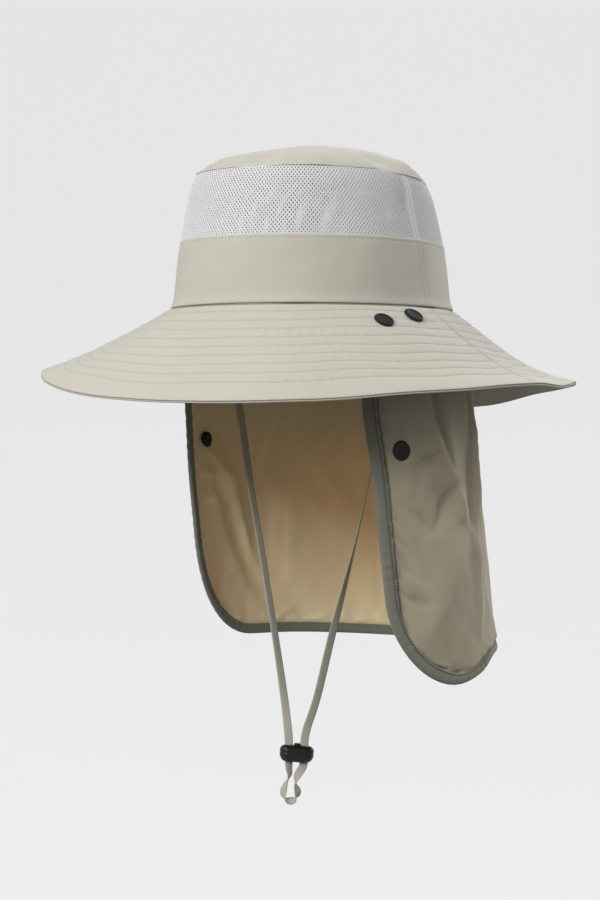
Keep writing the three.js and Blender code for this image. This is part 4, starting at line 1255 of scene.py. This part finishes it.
def flap_edge(form):
    """The free edge as (along, depth): down the left side from 7 mm below the seam, along the
    hem and up the right side."""
    start, width = 7 * MM, form.flap_width
    hem = hem_places(form, 40, 120)
    side = np.linspace(0, 1, 60)[:-1]
    depth = np.concatenate((
        start + (form.hem(0.0) - start) * side,
        form.hem(hem),
        (start + (form.hem(width) - start) * side)[::-1],
    ))
    along = np.concatenate((0 * side, hem, width + 0 * side))
    path = np.stack((along, depth), -1)
    travelled = distance_along(path)
    places = even_places(travelled, 1.3 * MM)
    return read_at(places, travelled, path), places


def beside_edge(form, path, inward, lift):
    """A point beside the flap's edge: inward in the cloth, and lifted off its outer face."""
    ahead = unit(np.gradient(path, axis=0))[:, None]
    inward = np.where(inward > 0, inward * form.narrowing(path[:, :1]), inward)
    along = path[:, None, 0] + ahead[..., 1] * inward
    depth = path[:, None, 1] - ahead[..., 0] * inward
    return form.flap(along, depth) + normals_of(upward(form.flap), along, -depth) * lift[..., None]


# The binding's folded section in millimetres: inward from the edge, lift off the flap, and, where that isn't
# nought, how much painted shade it gets: dark lines of painted shade at its inner edge and in its stitch
# grooves.
BINDING_SECTION = (
    (7.6, 0.1, 1.4), (7.75, 0.3), (7.5, 0.52), (6.85, 0.64), (6.55, 0.55, 1.3), (6.2, 0.44, 1.4),
    (5.85, 0.55, 1.3), (5.5, 0.78), (4.8, 0.95), (2.8, 1.06),
    (0.8, 1.0), (-0.3, 0.72), (-0.85, 0.1), (-1.0, -0.6), (-0.85, -1.3), (-0.3, -1.85),
    (0.8, -2.12), (2.6, -2.2), (3.8, -2.12), (4.1, -2.06), (4.35, -1.94, 1),
    (4.6, -2.06), (5.4, -2.05), (5.9, -1.8), (5.8, -1.5, 1), (3.0, -1.45), (-0.2, -1.4),
    (-0.4, -0.6), (-0.2, 0.22), (3.0, 0.28),
)


class HAT_OT_neck_flap(HatOperator, bpy.types.Operator):
    """Adds the neck flap's cloth, its folded binding and the binding's stitches"""

    bl_idname = "hat.neck_flap"
    bl_label = "Neck flap"

    def execute(self, context):
        form = HatForm(context.scene.hat_sizes)
        colours = context.scene.hat_colours
        outside = cloth_material(
            "flap weave", colours.flap, pitch=0.0006, roughness=0.65, sheen=0.1, glow=0.3,
        )
        # Painted light: the inner face's colour is lighter and warmer than the outer face's, for light
        # through the cloth.
        inside = cloth_material(
            "flap weave inside with painted light", colours.flap_inside_lit, pitch=0.0006, roughness=0.75, sheen=0.1,
            glow=0.8, depths=(1.0, 0.62, 0.4),
        )
        # Rows go up from the hem to the seam, and three more above it line the side band.
        rows = np.concatenate((np.linspace(0, 1, 130), [1.3, 1.65, 2.0]))
        u, row = grid(hem_places(form, 36, 142), rows)
        depth = np.where(row <= 1, form.hem(u) * (1 - row), (1 - row) * 6 * MM)
        outer = flap_face(form, u, depth, FLAP_OUTER)
        inner = flap_face(form, u, depth, FLAP_INNER)
        inward = from_flap_edge(form, u, depth)
        # Painted shade: a dark line beside the binding; on the outer face the folds' hollows darker and
        # ridges lighter as painted shade and light, on the inner face the other way round, more weakly.
        beside = 1.5 * bell(inward - 9.6 * MM, 1 * MM)
        hollow = flap_hollow(form, u, depth)
        skins = [
            grid_skin(outer, (u, depth), crease_shade=np.maximum(beside, 0.5 * hollow)),
            grid_skin(inner, (u, depth), finish=1, flip=True, crease_shade=-0.2 * hollow),
        ]
        for edge in (0, -1):
            side = np.stack((inner[edge], outer[edge]), 0)
            skins.append(grid_skin(side, (np.zeros((2, 1)), depth[edge][None]), flip=edge == -1))
            side = np.stack((inner[:, edge], outer[:, edge]), 1)
            skins.append(grid_skin(side, (u[:, edge][:, None], np.zeros((1, 2))), flip=edge == -1))
        cloth = add_piece("neck_flap_cloth", skins, [outside, inside], ["neck_flap"])
        binding = self.add_binding(context, form)
        stitches = self.add_stitches(context, form)
        return {"FINISHED"}

    def add_binding(self, context, form):
        """The section carried along the edge, its flat faces waved a little by the stitching."""
        path, along = flap_edge(form)
        section = np.array([(*row, 0)[:3] for row in BINDING_SECTION + BINDING_SECTION[:1]])
        inward, lift = section[:, :2].T * MM
        pull = 0.11 * MM * ripple(along[:, None, None], 41, 5 * MM, 8) * (np.abs(lift) > 0.6 * MM)
        points = beside_edge(form, path, np.broadcast_to(inward, (len(path), len(inward))), lift + pull)
        across = distance_along(np.stack((inward, lift), -1))
        skins = carried_skins(points, (along[:, None], across), section[:, 2])
        tape = cloth_material(
            "binding tape", context.scene.hat_colours.binding, pitch=0.0011, relief=0.00015,
            roughness=0.75, sheen=0.25, thread=0.2, slant=0.8,
        )
        return add_piece("flap_binding_tape", skins, [tape], ["flap_binding"])

    def add_stitches(self, context, form):
        """Thread in the grooves of the binding's outer and inner face."""
        path, _ = flap_edge(form)
        skins = []
        for inward, lift, side in ((6.2 * MM, 0.6 * MM, 1), (4.35 * MM, -2.04 * MM, -1)):
            columns = np.full((len(path), 1), inward)
            row = beside_edge(form, path, columns, np.full(columns.shape, lift))[:, 0]
            top = beside_edge(form, path, columns, np.full(columns.shape, lift + side * MM))[:, 0]
            skins.append(stitch_skin(row, top - row, 2.3 * MM, 1.4 * MM, 0.22 * MM))
        thread = cloth_material(
            "binding thread", tuple(1.5 * part for part in context.scene.hat_colours.binding),
            pitch=0.0006, roughness=0.6, thread=0.3, slant=1.0,
        )
        return add_piece("binding_stitches", skins, [thread], weld=False)


class HAT_OT_snaps(HatOperator, bpy.types.Operator):
    """Adds the snaps: a dished, ringed cap outside and a socket behind, turned round one axis"""

    bl_idname = "hat.snaps"
    bl_label = "Snaps"

    def execute(self, context):
        form = HatForm(context.scene.hat_sizes)
        plastic = plastic_material("black snap plastic", context.scene.hat_colours.plastic, 0.6)
        for name, degrees, reach in BRIM_SNAPS:
            at = (np.array(math.radians(degrees)), np.array(-reach * form.s.brim_width))
            self.add_snap(name, form, upward(form.brim), at, plastic, form.s.brim_wall, 0.35 * MM)
        for name, from_edge, depth in FLAP_SNAPS:
            along = from_edge * form.s.flap_length + (form.flap_width if from_edge < 0 else 0)
            at = (np.array(along), np.array(-depth * form.s.flap_length))
            self.add_snap(name, form, upward(form.flap), at, plastic, 1.2 * MM, 0.3 * MM)
        return {"FINISHED"}

    def add_snap(self, name, form, surface, at, plastic, cloth, seat):
        """Outlines of (radius share, height in millimetres), the cap's from its seat up to its
        dished middle and the socket's from its middle up to its seat. `cloth` is how thick the
        cloth between them is, and `seat` how high the cap's seat lies off the surface."""
        cap = np.array((
            (0, 0), (0.9, 0), (0.97, 0.2), (1, 0.55), (0.985, 0.95), (0.93, 1.35), (0.86, 1.62),
            (0.79, 1.7), (0.73, 1.6), (0.67, 1.34), (0.6, 1.2), (0.5, 1.18), (0.44, 1.26),
            (0.38, 1.3), (0.32, 1.24), (0.27, 1.18), (0.12, 1.2), (0, 1.2),
        ))
        socket = np.array((
            (0, -1.6), (0.2, -1.6), (0.27, -2.1), (0.4, -2.3), (0.52, -2.25), (0.62, -1.95),
            (0.74, -1.8), (0.8, -1.4), (0.8, -0.4), (0.76, 0), (0, 0),
        ))
        out = normals_of(surface, *at)
        first = unit(np.cross(out, (0.0, 0.0, 1.0)))
        second = np.cross(out, first)
        skins = []
        for outline, base in ((cap, seat), (socket, -cloth - 0.15 * MM)):
            share, height = smoothed(outline, 2 * len(outline) - 1)
            angle, share = grid(np.linspace(0, 2 * math.pi, 41), np.maximum(share, 0))
            share[:, 0] = share[:, -1] = 0
            ring = np.cos(angle)[..., None] * first + np.sin(angle)[..., None] * second
            rise = out * (base + height * MM)[:, None]
            points = surface(*at) + ring * (share * form.s.snap_radius)[..., None] + rise
            points[-1] = points[0]
            skins.append(grid_skin(points, (angle, share), flip=True))
        return add_piece(f"{name}_moulding", skins, [plastic], [name], sharp=50)


# The cord lock's middle in millimetres, and how far it leans as it hangs.
BEAD_CENTRE = (-4, -12, -289)
BEAD_LEAN = math.radians(4)


def strap_path():
    """The strap's centreline and width directions: a smooth curve through the route's rows."""
    *line, facing, tilt = smoothed(STRAP_ROUTE, 1600)
    line = np.stack(line, -1)
    travelled = distance_along(line)
    along = even_places(travelled, 0.9 * MM)
    facing, tilt = (np.radians(np.interp(along, travelled, turn)) for turn in (facing, tilt))
    line = read_at(along, travelled, line)
    ahead = unit(np.gradient(line, axis=0))
    wide = np.stack((np.cos(facing) * np.cos(tilt), np.sin(facing) * np.cos(tilt), np.sin(tilt)), -1)
    wide = unit(wide - ahead * np.sum(wide * ahead, -1, keepdims=True))
    return line, along, wide, np.cross(ahead, wide)


class HAT_OT_chin_strap(HatOperator, bpy.types.Operator):
    """Adds the chin strap: a flat woven tape carried along its route"""

    bl_idname = "hat.chin_strap"
    bl_label = "Chin strap"

    def execute(self, context):
        sizes, colours = context.scene.hat_sizes, context.scene.hat_colours
        line, along, wide, flat = strap_path()
        angle = np.linspace(0, 2 * math.pi, 19)
        across = boxed(np.cos(angle), 0.55) * sizes.strap_width / 2
        through = boxed(np.sin(angle), 0.75) * sizes.strap_thickness / 2
        points = line[:, None] + wide[:, None] * across[:, None] + flat[:, None] * through[:, None]
        skins = [grid_skin(points, (along[:, None], across[None]), flip=True)]
        skins += [cap_skin(points[0, :-1]), cap_skin(points[-1, -2::-1])]
        tape = cloth_material(
            "strap tape", colours.strap, pitch=0.0011, relief=0.00018, roughness=0.75,
            sheen=0.25, thread=0.22, slant=0.9,
        )
        add_piece("chin_strap_tape", skins, [tape], ["chin_strap"])
        return {"FINISHED"}


class HAT_OT_cord_lock(HatOperator, bpy.types.Operator):
    """Adds the cord lock: an oval bead with a groove, two slots and a press tab"""

    bl_idname = "hat.cord_lock"
    bl_label = "Cord lock"

    def execute(self, context):
        sizes = context.scene.hat_sizes
        half_depth, half_height = sizes.toggle_depth / 2, sizes.toggle_height / 2
        straight = sizes.toggle_length / 2 - half_depth
        # The bead's side outline, from its bottom up: share of the half height, and how far
        # the wall stands in from the full outline, in millimetres.
        outline = np.array((
            (-1, 6.0), (-1, 4.4), (-0.95, 3.3), (-0.84, 2.2), (-0.68, 1.35), (-0.48, 0.7),
            (-0.28, 0.3), (-0.12, 0.12), (0.0, 0.12), (0.08, 0.32), (0.16, 0.34), (0.24, 0.12),
            (0.4, 0.1), (0.6, 0.35), (0.78, 0.9), (0.9, 1.7), (0.97, 2.6), (1, 3.6), (1, 6.0),
        ))
        height, inset = smoothed(outline, 65)
        height = height * half_height
        a, inset = grid(np.linspace(0, 2 * math.pi, 97), inset * MM)
        reach = np.maximum(half_depth - inset, 0)
        squash = np.clip((6 * MM - inset) / (3 * MM), 0, 1)
        x = reach * np.cos(a) + straight * np.sign(np.round(np.cos(a), 6)) * squash
        points = np.stack((x, reach * np.sin(a), np.broadcast_to(height, a.shape)), -1)
        bead = self.add_turned(points, "toggle_bead")
        half_slot = np.array((sizes.strap_width / 2 + 0.35 * MM, sizes.strap_thickness / 2 + 0.45 * MM))
        for side in (-1, 1):
            slot = self.add_slot(side * 5.1 * MM, half_slot, sizes.toggle_height)
            cut = bead.modifiers.new("slot", "BOOLEAN")
            cut.operation, cut.object, cut.solver = "DIFFERENCE", slot, "EXACT"
            with context.temp_override(object=bead, active_object=bead):
                bpy.ops.object.modifier_apply(modifier=cut.name)
            bpy.data.objects.remove(slot)
        return self.finish_bead(context, bead)

    def add_turned(self, points, name):
        """A closed grid of points, turned and moved as the bead is."""
        skin = grid_skin(self.turned(points), (points[..., 0], points[..., 2]))
        mesh = bpy.data.meshes.new(name)
        mesh.from_pydata(skin["points"], [], skin["faces"])
        weld_points(mesh, face_out=True)
        return new_object(name, mesh)

    def turned(self, points):
        """Leans the points as the bead hangs, turns them about +Z and moves them."""
        x, y, z = np.moveaxis(points, -1, 0)
        sine, cosine = math.sin(BEAD_LEAN), math.cos(BEAD_LEAN)
        x, z = x * cosine + z * sine, z * cosine - x * sine
        sine, cosine = math.sin(VIEW_TURN), math.cos(VIEW_TURN)
        turned = (x * cosine - y * sine, x * sine + y * cosine, z)
        return np.stack(turned, -1) + np.array(BEAD_CENTRE) * MM

    def add_slot(self, offset, half, height):
        """A rounded slot to cut: its outline is a little deeper towards both of its ends."""
        angle, level = grid(np.linspace(0, 2 * math.pi, 33), np.linspace(-1, 1, 17))
        wide = boxed(np.cos(angle), 0.5) * half[0]
        deep = boxed(np.sin(angle), 0.5) * (half[1] + 0.5 * MM * np.abs(level) ** 6)
        points = np.stack((offset + wide, deep, level * height), -1)
        low, high = (np.broadcast_to((offset, 0, z), (33, 1, 3)) for z in (-height, height))
        return self.add_turned(np.concatenate((low, points, high), 1), "slot")

    def finish_bead(self, context, bead):
        """Adds the press tab's skin, the finish and the ride."""
        half_height = context.scene.hat_sizes.toggle_height / 2
        angle, level = grid(np.linspace(0, 2 * math.pi, 33), np.linspace(0, 1, 9))
        rounding = np.where(level > 0.6, np.sqrt(np.maximum(1 - ((level - 0.6) / 0.4) ** 2, 0)), 1)
        rounding = 1 - (1 - rounding) * np.where(level > 0.95, 1, 0.35)
        wide = boxed(np.cos(angle), 0.35) * 2.1 * MM * rounding
        deep = boxed(np.sin(angle), 0.35) * 3.3 * MM * rounding
        points = np.stack((wide, deep, half_height - 1.5 * MM + level * 3.1 * MM), -1)
        tab = grid_skin(self.turned(points), (wide, deep))
        plastic = plastic_material("black cord lock plastic", context.scene.hat_colours.plastic, 0.34)
        add_piece("cord_lock_tab", [tab], [plastic])
        bead.name = bead.data.name = "cord_lock_bead"
        bead.data.materials.clear()
        bead.data.materials.append(plastic)
        smooth_faces(bead.data, 35)
        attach(bead, "root")
        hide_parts("strap_toggle")
        return {"FINISHED"}


class HAT_OT_declare_strap(HatOperator, bpy.types.Operator):
    """Says how long the strap is, where it leaves the crown and what is on it"""

    # Reads the strap's centreline at every sixth point; nothing more is done with it
    bl_idname = "hat.declare_strap"
    bl_label = "Strap as a cord"

    def execute(self, context):
        path = strap_path()[0][::6]
        return {"FINISHED"}


class HAT_PT_sidebar(bpy.types.Panel):
    """Lists the hat's pieces, in the order in which they are added, and its sizes and colours"""

    bl_label = "Hat"
    bl_idname = "HAT_PT_sidebar"
    bl_space_type = "VIEW_3D"
    bl_region_type = "UI"
    bl_category = "Hat"

    def draw(self, context):
        pieces = self.layout.column(align=True)
        for step in STEPS:
            pieces.operator(f"hat.{step}")
        for group in (context.scene.hat_sizes, context.scene.hat_colours):
            column = self.layout.column(align=True)
            for name in group.__annotations__:
                column.prop(group, name)


CLASSES = [
    HatSizes, HatColours, HAT_OT_studio, HAT_OT_crown, HAT_OT_brim, HAT_OT_neck_flap, HAT_OT_snaps,
    HAT_OT_chin_strap, HAT_OT_cord_lock, HAT_OT_declare_strap, HAT_PT_sidebar,
]
STEPS = ["studio", "crown", "brim", "neck_flap", "snaps", "chin_strap", "cord_lock", "declare_strap"]


def register():
    for each in CLASSES:
        bpy.utils.register_class(each)
    bpy.types.Scene.hat_sizes = PointerProperty(type=HatSizes)
    bpy.types.Scene.hat_colours = PointerProperty(type=HatColours)


def unregister():
    del bpy.types.Scene.hat_colours
    del bpy.types.Scene.hat_sizes
    for each in reversed(CLASSES):
        bpy.utils.unregister_class(each)


def main():
    register()
    for step in STEPS:
        getattr(bpy.ops.hat, step)()


if __name__ == "__main__":
    main()
